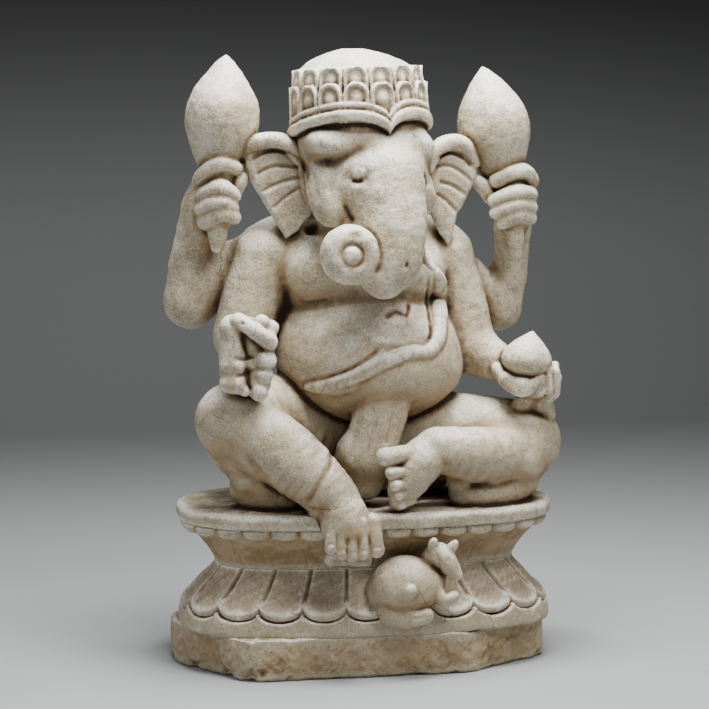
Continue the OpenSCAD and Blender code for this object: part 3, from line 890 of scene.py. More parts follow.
class IDOL_OT_legs(bpy.types.Operator):
    """Roughs out the legs, the feet and the drapery under the knees"""
    bl_idname = "idol.legs"
    bl_label = "Legs and feet"

    def execute(self, context):
        block = figure()
        block.grow("right_thigh", 4, (-46, 6, 72, 44), (-92, -20, 86, 41), (-131, -52, 88, 35))
        block.grow("right_shin", 9, (-130, -54, 84, 34), (-88, -74, 58, 33), (-54, -88, 30, 27),
                   (-38, -95, 14, 23))
        block.form("right_drape", [(
            [cone((-132, -34, 60, 22), (-96, -12, 16, 21)), cone((-124, -46, 56, 24), (-102, -50, 22, 19)),
             cone((-106, -50, 34, 24), (-90, -54, 13, 13)), cone((-92, -56, 42, 24), (-80, -58, 11, 9)),
             cone((-96, -12, 16, 20), (-56, -12, 22, 24)), cone((-104, -30, 14, 12), (-80, -44, 8, 10)),
             cone((-74, -66, 40, 16), (-76, -60, 10, 6))], 10),
            (limb([(-118, -36, 18, 13), (-100, -50, 12, 14), (-76, -56, 8, 8)]), 8)], 5)
        toes = [((-7, -114, -4, 8.4), (-4, -118, -30, 8.4)), ((-18, -119, -3, 6.2), (-17, -123, -33, 5.8)),
                ((-27, -121, -3, 6.0), (-27.5, -124, -34, 5.6)),
                ((-35.5, -119, -4, 5.8), (-37, -122, -32, 5.5)),
                ((-43, -114, -4, 7.0), (-46, -118, -27, 6.6))]
        foot = limb([(-37, -95, 12, 22), (-31, -103, 0, 22.5), (-27, -106, -12, 22)])
        ball_of_foot = [cone((-40, -106, -12, 12), (-12, -108, -12, 13))]
        block.form("right_foot", [
            (foot, 0), (ball_of_foot, 10), ([cone(*toe) for toe in toes], 1.4),
            ([cone((-42, -94, -44, 7), (-12, -98, -45, 8))], 1.5)], 2.5)
        block.grow("left_thigh", 4, (58, 8, 62, 46), (110, -12, 58, 44), (160, -20, 55, 41))
        block.grow("left_shin", 8, (150, -42, 44, 28), (104, -70, 50, 27), (64, -80, 58, 22))
        block.form("left_drape", [(
            [cone((92, -62, 34, 19), (90, -64, 8, 9)), cone((120, -58, 34, 24), (116, -58, 9, 12)),
             cone((148, -50, 38, 24), (138, -48, 12, 13)), cone((112, -24, 24, 18), (108, -30, 4, 16)),
             cone((160, -34, 36, 22), (146, -30, 14, 14))], 10),
            (limb([(92, -62, 8, 9), (112, -60, 8, 14), (136, -50, 12, 17), (156, -34, 20, 18)]), 8)], 4)
        instep = limb([(60, -80, 56, 20), (42, -87, 44, 22), (30, -90, 26, 17), (24, -92, 12, 10)])
        long_toes = [((30, -94, 56, 9), (9, -101, 55, 9)), ((34, -98, 40, 6), (13, -104, 40, 6)),
                     ((36, -98, 30, 6), (18, -104, 28, 5.8)), ((36, -97, 20, 5.5), (22, -102, 18, 5.4)),
                     ((34, -95, 12, 5.2), (25, -99, 9, 5))]
        block.form("left_foot", [(instep, 0), ([cone(*toe) for toe in long_toes], 1.6)], 3)
        return {"FINISHED"}


class IDOL_OT_front_arms(bpy.types.Operator):
    """Roughs out the front arms and hands, the sweet and the strut under it"""
    bl_idname = "idol.front_arms"
    bl_label = "Front arms"

    def execute(self, context):
        block = figure()
        block.grow("front_right_upper_arm", 7, (-90, 12, 238, 31), (-103, 8, 204, 30),
                   (-114, 4, 166, 28))
        block.grow("front_right_forearm", 9, (-115, 2, 160, 26), (-118, -30, 153, 23),
                   (-126, -66, 156, 19))
        palm = [cone((-134, -86, 178, 13), (-134, -87, 130, 13)),
                cone((-122, -82, 176, 13), (-118, -82, 130, 15)),
                cone((-111, -84, 172, 13), (-110, -86, 126, 12))]
        knuckles = [ball(-108, -92, 184, 7.5), ball(-98.5, -89, 178, 7.5), ball(-129, -93, 186, 7),
                    ball(-102, -94, 170, 8)]
        tips = [ball(-104.5, -95, 149, 9.8), ball(-106.5, -95, 133.5, 9.0), ball(-111, -95, 119.5, 9.2),
                cone((-139, -92, 144, 7), (-131, -95, 143, 6.8)),
                cone((-139, -92, 127, 8.8), (-132, -94, 126, 9)),
                ball(-124, -95, 121, 6), ball(-116, -92, 126, 7)]
        thumb = limb([(-130, -94, 186, 6.6), (-120, -99, 180, 6.6), (-109, -101, 172, 7),
                      (-100, -98, 165, 7.2)])
        block.form("front_right_hand", [(palm, 6), (knuckles, 4), (tips, 3), (thumb, 2.5)], 4)
        block.grow("front_left_upper_arm", 7, (88, 16, 238, 29), (104, 12, 192, 28), (113, 4, 150, 26))
        block.grow("front_left_forearm", 9, (113, 4, 147, 25), (134, -14, 136, 20), (150, -26, 128, 16))
        palm = [cone((150, -30, 122, 15), (168, -44, 118, 17)),
                cone((166, -40, 116, 16), (182, -42, 112, 13)),
                cone((168, -40, 112, 14), (178, -42, 104, 11))]
        thumb = limb([(133, -36, 130, 6), (141, -50, 116, 5.6), (152, -60, 111, 5.4), (163, -62, 117, 5.2),
                      (170, -60, 123, 5)])
        fingers = [cone((178, -57, 130, 6), (179, -59, 111, 6)), cone((187, -50, 127, 6), (186, -52, 107, 6)),
                   ball(189, -43, 132, 5), cone((170, -60, 122, 5.6), (171, -60, 109, 5.6)),
                   cone((192, -39, 120, 6), (189, -41, 105, 6))]
        fill = [cone((150, -40, 119, 11), (168, -54, 112, 10)), cone((178, -48, 120, 9), (182, -48, 106, 9)),
                cone((140, -48, 121, 8), (154, -58, 116, 9)), cone((154, -58, 116, 9), (170, -56, 118, 8))]
        block.form("front_left_hand", [(palm, 5), (fill, 4), (thumb, 3), (fingers, 2.6)], 3)
        sweet = turned((155, -47, 117), 52, lambda t: 25 * np.sin(math.pi * np.minimum(t, 0.4) / 0.8) ** 0.7
                       * np.cos(0.5 * math.pi * np.clip((t - 0.4) / 0.6, 0, 0.995)) ** 0.92, 25, tilt=12)
        block.form("sweet", [([sweet], 0)], 0.8)
        strut = [cone((152, -32, 84, 10), (164, -44, 102, 9)), cone((182, -34, 84, 11), (176, -46, 102, 10)),
                 cone((164, -30, 84, 13), (170, -38, 100, 12)), cone((180, -53, 102, 5.5), (176, -46, 96, 8))]
        block.form("hand_strut", [(strut, 4)], 2)
        return {"FINISHED"}


def rear_arm(block, side, limbs, bud):
    """An arm from the shoulder up to a fist round a stem. limbs are the upper arm, the forearm, the
    back of the hand, the grip, four fingers, the thumb and the stem."""
    upper, fore, back, grip, *fingers, thumb, stem = limbs
    block.grow(side + "_upper_arm", 7, *upper)
    block.grow(side + "_forearm", 10, *fore)
    curled = [rod for finger in fingers for rod in limb(finger)]
    block.form(side + "_hand", [(limb(back), 0), ([cone(*grip)], 6), (curled, 4.5), (limb(thumb), 2.5)], 6)
    block.grow(side + "_stem", 2, *stem)
    block.form(side + "_bud", [([bud], 0)], 1.5)


class IDOL_OT_rear_arms(bpy.types.Operator):
    """Roughs out the rear arms and hands with their lotus buds and stems"""
    bl_idname = "idol.rear_arms"
    bl_label = "Rear arms"

    def execute(self, context):
        block = figure()
        tall, wide = sizes().bud_height, sizes().bud_radius

        def bud(t):
            """Swells as a sine to the widest place, then tapers as a power of a cosine."""
            low = 0.54 + 0.46 * np.sin(0.5 * math.pi * np.minimum(t / 0.44, 1))
            high = np.cos(0.5 * math.pi * np.clip((t - 0.44) / 0.56, 0, 0.995)) ** 0.87
            return wide * np.where(t < 0.44, low, high)
        rear_arm(block, "rear_right", [
            [(-84, 34, 234, 31), (-124, 38, 222, 29), (-161, 40, 194, 25)],
            [(-164, 40, 192, 22), (-163, 37, 230, 20.5), (-156, 30, 264, 19)],
            [(-155, 25, 270, 19), (-152, 17, 290, 19.5), (-147, 10, 312, 14)],
            [(-140, 2, 278, 15.5), (-136, 1, 322, 16)],
            [(-156, 4, 314, 6), (-148, -7, 324, 6.2), (-136, -13, 331, 6.2), (-120, -8, 326, 5.6)],
            [(-153, -2, 300, 6), (-137, -15, 308, 6), (-122, -9, 299, 5.6)],
            [(-154, -2, 286, 6), (-138, -14, 294, 5.8), (-124, -9, 287, 5.4)],
            [(-152, -1, 274, 5.6), (-136, -12, 282, 5.6), (-122, -8, 278, 5.2)],
            [(-124, 4, 298, 7), (-120, -1, 308, 7), (-115, -3, 317, 6)],
            [(-139, 2, 284, 11), (-139, 0, 264, 9.5), (-139.5, 0, 249, 5.5)]],
            turned((-136, 8, 326), tall + 2, bud, wide, tilt=4.2))
        rear_arm(block, "rear_left", [
            [(88, 34, 228, 30), (122, 38, 206, 26), (152, 40, 184, 22)],
            [(154, 40, 184, 20), (163, 38, 222, 18.5), (164, 30, 260, 17.5)],
            [(163, 25, 268, 18.5), (163, 17, 290, 19), (162, 10, 312, 13)],
            [(158, 2, 276, 15), (152, 1, 318, 16)],
            [(177, 4, 312, 6), (167, -7, 322, 6.2), (152, -13, 322, 6.2), (136, -8, 313, 5.6)],
            [(176, -1, 299, 6), (156, -15, 302, 6), (134, -8, 293, 5.6)],
            [(176, -1, 287, 6), (156, -14, 289, 5.8), (136, -8, 281, 5.4)],
            [(175, 0, 276, 5.6), (158, -12, 279, 5.6), (143, -8, 271, 5.2)],
            [(135, 4, 296, 7), (128, -1, 305, 7), (118, -3, 313, 6)],
            [(156, 2, 276, 11), (159, 0, 257, 9), (161, 0, 242, 5.5)]],
            turned((147.5, 8, 319), tall + 1, bud, wide + 1, tilt=-11.2))
        return {"FINISHED"}


def ear(block, name, fan, lean, pivot, roll):
    """A leaning plate cut to the fan's outline, with a roll along its top."""
    block.form(name, [([plate(fan, -10, 6.5, lean, pivot)], 0), (limb(roll), 1.2)], 2)


class IDOL_OT_head(bpy.types.Operator):
    """Roughs out the head, the trunk and its curl, the tusks and the ears"""
    bl_idname = "idol.head"
    bl_label = "Head"

    def execute(self, context):
        block = figure()
        skull = [egg((4, -18, 330), (60, 57, 52)), egg((0, -16, 352), (64, 61, 42)),
                 egg((6, -24, 302), (52, 50, 42))]
        cheeks = [ball(-31, -52, 292, 23), ball(-35, -44, 312, 22), ball(46, -38, 298, 23)]
        brows = [egg((-26, -50, 347), (33, 27, 19), 12), egg((39, -42, 345), (28, 26, 20))]
        root = [ball(14, -50, 316, 42), ball(12, -46, 332, 37)]
        block.form("head", [(skull, 16), (cheeks, 14), (brows, 7), (root, 10)], 3)
        block.grow("trunk", 10, (10, -56, 312, 42), (16, -68, 288, 37.5), (17, -78, 264, 34),
                   (16, -86, 242, 29.5), (8, -92, 226, 22))
        ring = [(-26 + 15.8 * math.cos(a), -107.0, 247 + 15.8 * math.sin(a), 10.4 - 0.8 * math.cos(a))
                for a in np.radians(np.arange(-60, 301, 15))]
        stalk = limb([(6, -94, 226, 17), (-6, -102, 226, 12), (-16, -108, 231, 9.6)])
        middle = [ball(-28, -115.5, 244.5, 6.8), cone((-26, -96, 247, 20), (-26, -104, 247, 18))]
        block.form("trunk_curl", [
            (stalk, 0), ([cone(a, b) for a, b in zip(ring[:-1], ring[1:])] + [ball(-8, -103, 243, 11)], 5),
            (middle, 1.4)], 3.5)
        block.form("right_tusk", [([cone((-19, -58, 286, 8), (-19, -66, 277, 5.5))], 0)], 5)
        block.grow("left_tusk", 2, (44, -64, 254, 9), (51, -76, 244, 7), (58, -84, 232, 2.8))
        fan = [(-54, 340), (-64, 350), (-78, 355), (-92, 356), (-106, 352), (-115, 342), (-113, 328),
               (-104, 309), (-94, 291), (-84, 274), (-74, 258), (-62, 266), (-50, 282), (-44, 300),
               (-46, 322)]
        roll = [(-113, -4, 340, 6), (-105, -8, 349, 8), (-89, -13, 352.5, 8.5), (-74, -17, 349, 8.5),
                (-63, -20, 340, 8), (-56.5, -22, 326, 6.5), (-55, -23, 308, 5), (-51, -24, 292, 4)]
        ear(block, "right_ear", fan, (-0.22, 0.04), (-90, 310), roll)
        fan = [(64, 338), (74, 350), (88, 354), (102, 351), (114, 342), (119, 328), (118, 316),
               (108, 298), (98, 281), (93, 266), (88, 250), (78, 262), (68, 282), (62, 300), (60, 322)]
        roll = [(66, -22, 326, 6), (70, -21, 339, 8), (82, -17, 348.5, 8.5), (95, -13, 350.5, 8.5),
                (108, -9, 344, 8), (116, -6, 331, 6)]
        ear(block, "left_ear", fan, (0.24, 0.04), (95, 310), roll)
        return {"FINISHED"}


CROWN = (-1.0, -14.0, 372.0)  # middle of the crown's foot
CROWN_LEAN = 2.5              # how far the crown leans to its side, in degrees
PETAL_TURN = -12.0            # angle of one of its petals from the front, in degrees


def in_crown(radius, low, high, widest):
    """Distance to a form turned about the crown's leaning axis: distance from the axis less a radius
    that depends on the angle from the front and on the height above the crown's foot."""
    c, s = math.cos(math.radians(CROWN_LEAN)), math.sin(math.radians(CROWN_LEAN))

    def distance(X, Y, Z):
        px, py, pz = X - CROWN[0], Y - CROWN[1], Z - CROWN[2]
        across, up = px * c + pz * s, pz * c - px * s
        angle = np.degrees(np.arctan2(across, -py))
        side = (np.sqrt(across ** 2 + py ** 2) - radius(angle, up)) * 0.85
        return np.maximum(side, np.abs(up - (low + high) / 2) - (high - low) / 2)
    mid = np.array(CROWN)
    return Shape(mid + [-widest - 3, -widest, low - 3], mid + [widest + 3, widest, high + 3], distance)


def band_middle(angle):
    """Height of the crown's band round the head: two arches that meet in a V over the trunk."""
    left = np.clip((15 - angle) / 112, 0, 1)
    right = np.clip((angle - 15) / 75, 0, 1)
    arches = (-6.5 + 15.5 * np.sin(math.pi * left ** 0.61) * (left < 1) - 1.5 * left
              + 14.5 * np.sin(math.pi * right ** 0.56) * (right < 1) + 3 * right)
    return arches + (-5.8 - arches) * ease(np.abs(angle), 120, 178)


def band_radius(angle, up):
    """A thick roll with a thinner one above it: square roots of 1 less a fourth power, over a core."""
    e = up - band_middle(angle)
    roll = 22.0 * np.clip(1 - ((e + 3.4) / 7.0) ** 4, 0, 1) ** 0.3
    bead = 19.6 * np.clip(1 - ((e - 6.4) / 4.2) ** 4, 0, 1) ** 0.25
    return 49 + np.maximum(np.maximum(roll, bead), 18.2 * np.exp(-((e - 0.6) / 9.0) ** 8))


def petal_relief(angle, up, foot, tall, count):
    """Relief of a row of arched petals: a raised rim along the arch, a hollow inside it and a bulge
    in the middle of the hollow."""
    step = 360 / count
    a = ((angle - PETAL_TURN + step / 2) % step - step / 2) * math.pi / 180 * 64
    b = up - (foot + tall - 11)
    arch = np.where(b > 0, np.sqrt(a ** 2 + (0.92 * b) ** 2), np.abs(a)) - 10.6
    rim = 3.0 * np.exp(-(arch / 2.1) ** 2)
    bulge = 2.2 * np.exp(-(a ** 2 + (b + 3) ** 2) / 26)
    gap = 0.9 + 1.9 * ease(b, -6, 4)
    return np.where(arch < 0, 0.2 + bulge, -gap * ease(arch, 0.4, 2.6)) + rim


class IDOL_OT_crown(bpy.types.Operator):
    """Roughs out the crown: its band, its drum with two rows of petals, and the dome"""
    bl_idname = "idol.crown"
    bl_label = "Crown"

    def execute(self, context):
        block = figure()
        count = sizes().crown_petals
        block.form("crown_drum", [([in_crown(lambda a, up: 62.0 - 0.09 * up, -10, 46, 66)], 0)], 1)

        def petals(angle, up):
            lower = petal_relief(angle, up, 8, 26, count) + 65.5 - 0.03 * up
            upper = petal_relief(angle, up, 26, 25, count) + 63.5 - 0.06 * up
            return np.maximum(np.where(up < 35, lower, 0), np.where(up < 52, upper, 0))
        block.form("crown_petals", [([in_crown(petals, -2, 50.5, 70)], 0)], 1)
        block.form("crown_band", [([in_crown(band_radius, -20, 24, 73)], 0)], 1.5)
        dome = egg((-7, -14, 404), (58.5, 58.5, 37))
        block.form("crown_dome", [([dome, egg((20, -12, 422), (30, 30, 9))], 8)], 3)
        return {"FINISHED"}


class IDOL_OT_mouse(bpy.types.Operator):
    """Carves the mouse that crouches before the base, from a block of its own"""
    bl_idname = "idol.mouse"
    bl_label = "Mouse"

    def execute(self, context):
        block = Block((-18, -134, -116), (104, -44, -4), min(sizes().pitch, 1.4))
        body = limb([(22, -84, -78, 28), (30, -89, -74, 31), (44, -90, -72, 24), (54, -88, -66, 17)])
        block.form("mouse_body", [
            (body, 0), (limb([(25, -106, -76, 11), (30, -119, -70, 4.4)]), 4),
            (limb([(14, -98, -96, 12), (30, -106, -100, 9)]), 5)], 0)
        skull = limb([(58, -86, -52, 14), (62, -94, -42, 12), (68, -100, -48, 10.5), (77, -105, -60, 5.5)])
        ears = (limb([(55, -97, -34, 4.6), (56, -100, -27, 3)])
                + limb([(73, -98, -36, 4.6), (77, -100, -30, 3)]))
        block.form("mouse_head", [(skull, 0), (ears, 2)], 4)
        legs = (limb([(28, -104, -92, 9), (34, -110, -98, 8.5), (46, -110, -97, 8)])
                + limb([(54, -98, -66, 8), (59, -104, -78, 6.5), (66, -107, -84, 5.4), (75, -106, -80, 5)]))
        block.form("mouse_paws", [(legs, 2)], 2)
        block.engrave([(56, -38), (60, -47), (62, -58)], 2.2, 1.2)
        block.engrave([(26, -96), (36, -98), (47, -96)], 1.5, 1.4)
        block.engrave([(66, -44), (69, -45)], 1.6, 1.4)
        block.chip(ball(34, -136, -64, 14), 0.4)
        block.soften()
        for node in ("mouse_body", "mouse_head", "mouse_paws"):
            take_off(block, node, sizes().undulation * 0.6)
        return {"FINISHED"}


class IDOL_OT_lines(bpy.types.Operator):
    """Cuts the fine lines and chips into the figure"""
    bl_idname = "idol.lines"
    bl_label = "Fine lines"

    def execute(self, context):
        cut = figure().engrave
        # face
        cut([(-54, 332), (-41, 334), (-28, 338), (-10, 344), (14, 350)], 8.0, 2.8)
        cut([(-19, 318), (-10, 318.5)], 7.0, 2.4, taper=0)
        cut([(-16, 319.5), (-12, 321)], 3.0, -1.7, taper=0)
        cut([(-20, 317), (-15.5, 314.6), (-10, 316.5)], 2.8, 1.7)
        cut([(-21, 321), (-15, 325.5), (-8, 322.5)], 2.6, -1.1)
        cut([(50, 322), (54, 316), (56, 307)], 2.6, 1.8)
        cut([(-28, 295), (-22, 284), (-17, 276)], 2.4, 1.5)
        cut([(-53, 325), (-51, 307), (-47, 292)], 2.4, 0.6)
        cut([(-40, 318), (-39, 305), (-36, 296)], 1.6, 0.5)
        cut([(27, 241), (26, 234)], 1.6, 2.4)
        figure().chip(cone((-50, -18, 270, 9), (-30, -46, 264, 8)), 2)
        figure().chip(cone((-47, -38, 269, 8), (-34, -58, 264, 5)), 2)
        # curl of the trunk
        cut([(-24, 270), (-23.5, 265), (-22, 258)], 6.0, 2.6, taper=0.4)
        around = np.radians(np.arange(-120, 241, 30))
        cut([(-27 + 10.5 * math.cos(a), 246.5 + 10.5 * math.sin(a)) for a in around], 2.8, 1.5, taper=0.4)
        cut([(-26, 243), (-25.4, 242)], 1.6, 3.0)
        # ears
        for line in ([(-111, 330), (-97, 340), (-80, 343), (-66, 338), (-58, 326), (-57, 308)],
                     [(-104, 318), (-94, 325), (-82, 328.5), (-58, 327)],
                     [(-98, 303), (-88, 309), (-78, 313), (-60, 318)],
                     [(-88, 287), (-80, 294), (-73, 300), (-60, 309)],
                     [(72, 335), (85, 340), (96, 338.5), (106, 333), (112, 326)],
                     [(72, 326), (82, 329), (94, 326), (105, 319), (113, 311)],
                     [(76, 313), (91, 309), (107, 299)], [(73, 302), (85, 294), (97, 282)]):
            cut(line, 2.1, 2.3, taper=0.15)
        # chest, scarf and belly
        cut([(-68, 200), (-50, 198), (-30, 203)], 2.4, 0.5)
        cut([(61, 232), (62, 200), (61, 168), (52, 160)], 1.8, 1.5)
        cut([(-58, 124), (-29, 133), (-2, 149), (10, 160)], 2.4, 1.6)
        cut([(-46, 113), (-16, 121), (8, 133), (32, 142)], 2.2, 1.3)
        cut([(-40, 120), (-12, 131), (14, 146)], 1.8, 0.9)
        cut([(14, 182), (27, 188), (37, 184)], 3.2, 1.9)
        cut([(36, 182), (40, 188), (43, 196)], 2.4, 1.9)
        cut([(20, 178), (29, 180), (36, 177)], 3.5, -1.4)
        # leg, drapery and loincloth
        cut([(-37, 71), (-45, 50), (-58, 32), (-68, 14)], 2.8, 1.5, taper=0.1)
        cut([(-41, 76), (-51, 55), (-63, 38), (-74, 20)], 5.0, -1.0, taper=0.2)
        for x in (-18, -4, 12):
            cut([(x + 10, 96), (x + 4, 72), (x - 3, 48)], 2.6, 1.0)
        cut([(-124, 62), (-108, 40), (-92, 16)], 4.0, 1.2)
        # hands
        cut([(-127, 176), (-124, 160), (-119, 148)], 3.4, 2.6)
        cut([(-136, 151), (-124, 150), (-113, 153)], 2.2, 1.5)
        cut([(-135, 135), (-124, 136), (-114, 141)], 2.0, 1.2)
        cut([(-123, 144), (-121, 132), (-119, 116)], 3.4, 2.4)
        cut([(174.5, 129), (175, 118), (175.5, 107)], 1.8, 0.9)
        cut([(183, 130), (183, 118), (183, 104)], 1.8, 0.9)
        cut([(161.6, 114), (161.8, 113)], 1.2, 3.0)
        cut([(174, 106), (174, 105)], 1.3, 3.0)
        # toenails
        for x, z, w in ((-4, -32, 5), (-16.5, -34, 3.6), (-27, -35, 3.6), (-36, -33, 3.4), (-47, -28, 4)):
            cut([(x - w, z), (x - 0.7 * w, z + 5), (x + 0.7 * w, z + 5), (x + w, z)], 0.9, 0.8, taper=0)
        for spot in (ball(183, -53, 103, 3.6), ball(-104, -108, 131, 3.0), ball(-97, -108, 116, 3.4),
                     ball(-127, -104, 184, 2.2)):
            figure().chip(spot, 0.5)
        return {"FINISHED"}


class IDOL_OT_finish_figure(bpy.types.Operator):
    """Takes every carved form of the figure off the block as its own closed piece"""
    bl_idname = "idol.finish_figure"
    bl_label = "Finish the figure"

    def execute(self, context):
        block = figure()
        block.soften()
        for node in block.forms:
            if node != "bed":
                take_off(block, node, sizes().undulation)
        return {"FINISHED"}


class IDOL_OT_marbles(bpy.types.Operator):
    """Makes the three finishes of marble"""
    bl_idname = "idol.marbles"
    bl_label = "Marble"

    def execute(self, context):
        CARVING["carved_marble"] = marble("carved_marble", colours(), 0.0, 0.0, 1.0)
        CARVING["worn_marble"] = marble("worn_marble", colours(), -0.12, 0.14, 0.9)
        CARVING["rough_marble"] = marble("rough_marble", colours(), 0.12, -0.05, 1.6)
        return {"FINISHED"}


class IDOL_OT_base(bpy.types.Operator):
    """Makes the lotus base: the rough plinth, its ledge, two tiers of petals and the seat slab"""
    bl_idname = "idol.base"
    bl_label = "Lotus base"

    def execute(self, context):
        self.plinth()
        self.tiers()
        return {"FINISHED"}

    def plinth(self):
        """A rough block with uneven corners: rings from the floor up to the ledge, along an outline
        whose corners are softened by a mean over its neighbours, with chips knocked out."""
        columns = 540
        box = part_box("plinth")
        half_w, half_d = (box[1].x - box[0].x) / MM / 2, (box[1].y - box[0].y) / MM / 2
        corners = np.array([(-0.66, -1), (0.48, -1), (0.98, -0.45), (1, 0.4), (0.68, 1), (-0.66, 1),
                            (-1, 0.4), (-1, -0.1), (-0.66, -1)]) * [half_w - 1, half_d - 1]
        walked = np.concatenate([[0], np.cumsum(np.linalg.norm(np.diff(corners, axis=0), axis=1))])
        along = np.arange(columns) / columns * walked[-1]
        edge = np.stack([np.interp(along, walked, corners[:, k]) for k in (0, 1)], axis=1)
        edge = sum(np.roll(edge, k, axis=0) for k in range(-6, 7)) / 13
        ahead, behind = np.roll(edge, -1, axis=0), np.roll(edge, 1, axis=0)
        way = ahead - behind
        out = np.stack([way[:, 1], -way[:, 0]], axis=1) / np.linalg.norm(way, axis=1)[:, None]

        def place(inset):
            p = edge - out * np.reshape(np.broadcast_to(inset, columns), (-1, 1))
            return p[:, 0], p[:, 1]
        wave = ripple(np.stack([edge[:, 0], edge[:, 1], 0 * along], axis=1), 60, 9)
        top = LEDGE_H - 1.2 + 1.3 * wave
        foot = FLOOR_H + 1.5
        rows = [(8, FLOOR_H), (5, FLOOR_H), (3.4, FLOOR_H + 0.6), (2.6 + wave, foot)]
        rows += [(1.6 - 1.2 * math.sin(math.pi * t), foot + (top - 2 - foot) * t)
                 for t in np.linspace(0.03, 1, 30)]
        rows += [(2.2, top - 0.8), (3.6, top - 0.1), (5.2, top + 0.2), (8, top + 0.3), (12, top + 0.3),
                 (18, top + 0.3)]
        dents = [(-124, -98, FLOOR_H + 1, 13), (-144, -74, FLOOR_H, 11), (-110, -100, FLOOR_H + 7, 7),
                 (-171, -34, FLOOR_H, 10), (-186, 6, FLOOR_H + 5, 8), (-84, -100, FLOOR_H, 6),
                 (128, -82, FLOOR_H, 6), (176, -50, FLOOR_H + 2, 7), (187, 20, FLOOR_H, 8),
                 (-120, -97, LEDGE_H, 5), (-150, -66, LEDGE_H, 5), (150, -68, LEDGE_H, 4),
                 (120, 90, FLOOR_H, 13), (-60, 100, FLOOR_H, 9), (0, 101, LEDGE_H, 6)]
        base_piece("plinth", rows, place, 0.7, 0.75, dents)

    def tiers(self):
        """The ledge, with a crest behind each pair of petals; the lower tier, whose petals have round
        lips and grooves between them and sweep in to the waist; the upper tier, which flares out to
        a row of round tips; and the slab. Each goes round the same outline."""
        block = CARVING["figure"]
        columns = 22 * 34
        petals, tips = sizes().lower_petals, sizes().upper_petals
        angles, around = outline_angles(columns, 9.0)
        share = np.arange(columns) / columns

        def place(inset):
            return outline(angles, inset)
        v = np.abs(2 * ((share * petals) % 1) - 1)
        wide = around / petals
        notch = np.exp(-(((1 - v) * wide / 2) / 1.9) ** 2)
        crest = 1.2 + 10.2 * (1 - np.sqrt(np.clip(1 - (v * 0.985) ** 2, 0, 1))) + 0.4 * np.sin(share * 91)
        rows = [(16, LEDGE_H - 3), (6, LEDGE_H - 3), (2.2, LEDGE_H - 2.4), (1.4, LEDGE_H + 0.5)]
        rows += [(1.6 + 2.2 * t ** 2, LEDGE_H + 2 + (TIER_H - LEDGE_H - 4 + crest) * t)
                 for t in np.linspace(0.15, 1, 9)]
        rows += [(5.4, TIER_H - 1 + crest), (7.6, TIER_H - 1.2 + crest), (11, TIER_H - 2 + crest * 0.9),
                 (16, TIER_H - 2 + crest * 0.6), (24, TIER_H - 2 + crest * 0.3)]
        base_piece("plinth_ledge", rows, place, 0.6, 0.35)

        waist = sizes().waist_in
        round_off = 1 - np.sqrt(np.clip(1 - (v * 0.985) ** 2, 0, 1))
        lift = 11.0 * round_off
        back = 6.0 * round_off
        bulge = 1.6 * (1 - v ** 2)
        tall = WAIST_H - TIER_H
        rows = [(24, TIER_H - 2), (14, TIER_H - 1), (10.5, TIER_H + 0.6 + lift * 0.9)]
        rows += [(6.8 + back, TIER_H + 1.0 + lift), (4.8 + back, TIER_H + 2.6 + lift),
                 (3.8 + back, TIER_H + 4.8 + lift), (4.2 + back, TIER_H + 7.0 + lift * 0.96),
                 (5.8 + back, TIER_H + 9.2 + lift * 0.9), (8.0 + back * 0.9, TIER_H + 11.2 + lift * 0.82)]
        for t in np.linspace(0.06, 1, 34):
            inset = 8 + (waist - 8) * (1 - (1 - t) ** 1.18) - bulge * math.sin(math.pi * min(t * 1.1, 1))
            groove = notch * (4.4 - 1.2 * t)
            rows.append((inset + groove + back * 0.9 * (1 - t) ** 3,
                         TIER_H + 11.2 + (tall - 12.2) * t + lift * 0.82 * (1 - t) ** 2.2))
        rows += [(waist + 1.5, WAIST_H - 0.2), (waist + 6, WAIST_H)]
        base_piece("lotus_lower_tier", rows, place, 0.45)

        facets = 24
        f = np.abs(2 * ((share * facets + 0.3) % 1) - 1)
        ridge = np.exp(-(((1 - f) * around / facets / 2) / 1.6) ** 2)
        w = np.abs(2 * ((share * tips + 0.2) % 1) - 1)
        tip_round = 1 - np.sqrt(np.clip(1 - (w * 0.97) ** 2, 0, 1))
        tip_gap = np.exp(-(((1 - w) * around / tips / 2) / 1.6) ** 2)
        rows = [(waist + 6, WAIST_H - 1.5), (waist + 1.0, WAIST_H - 1.0), (waist - 0.6, WAIST_H + 0.6)]
        span = SLAB_H - WAIST_H - 8
        for t in np.linspace(0.04, 1, 28):
            inset = waist - (waist - 11.5) * (0.35 * t ** 2 + 0.65 * t)
            inset = inset + 1.2 * math.sin(math.pi * t) * (1 - f ** 2)
            inset = inset + 2.2 * ridge * math.sin(math.pi * min(t + 0.15, 1))
            rows.append((inset, WAIST_H + 0.6 + span * t))
        cap = SLAB_H - 9.4 + 5.4 * tip_round
        rows += [(9.6 + 0.5 * tip_gap, cap), (7.0 + 1.6 * tip_round + 2.0 * tip_gap, cap + 0.3),
                 (5.4 + 2.2 * tip_round + 3.4 * tip_gap, cap + 1.4),
                 (4.4 + 1.8 * tip_round + 4.2 * tip_gap, cap + 3.2),
                 (4.2 + 1.2 * tip_round + 4.4 * tip_gap, cap + 5.0),
                 (5.2 + 0.8 * tip_round + 3.6 * tip_gap, SLAB_H - 1.0),
                 (7.0 + 1.6 * tip_gap, SLAB_H + 0.2), (9.5, SLAB_H + 1.2), (14, SLAB_H + 1.6)]
        base_piece("lotus_upper_tier", rows, place, 0.4)

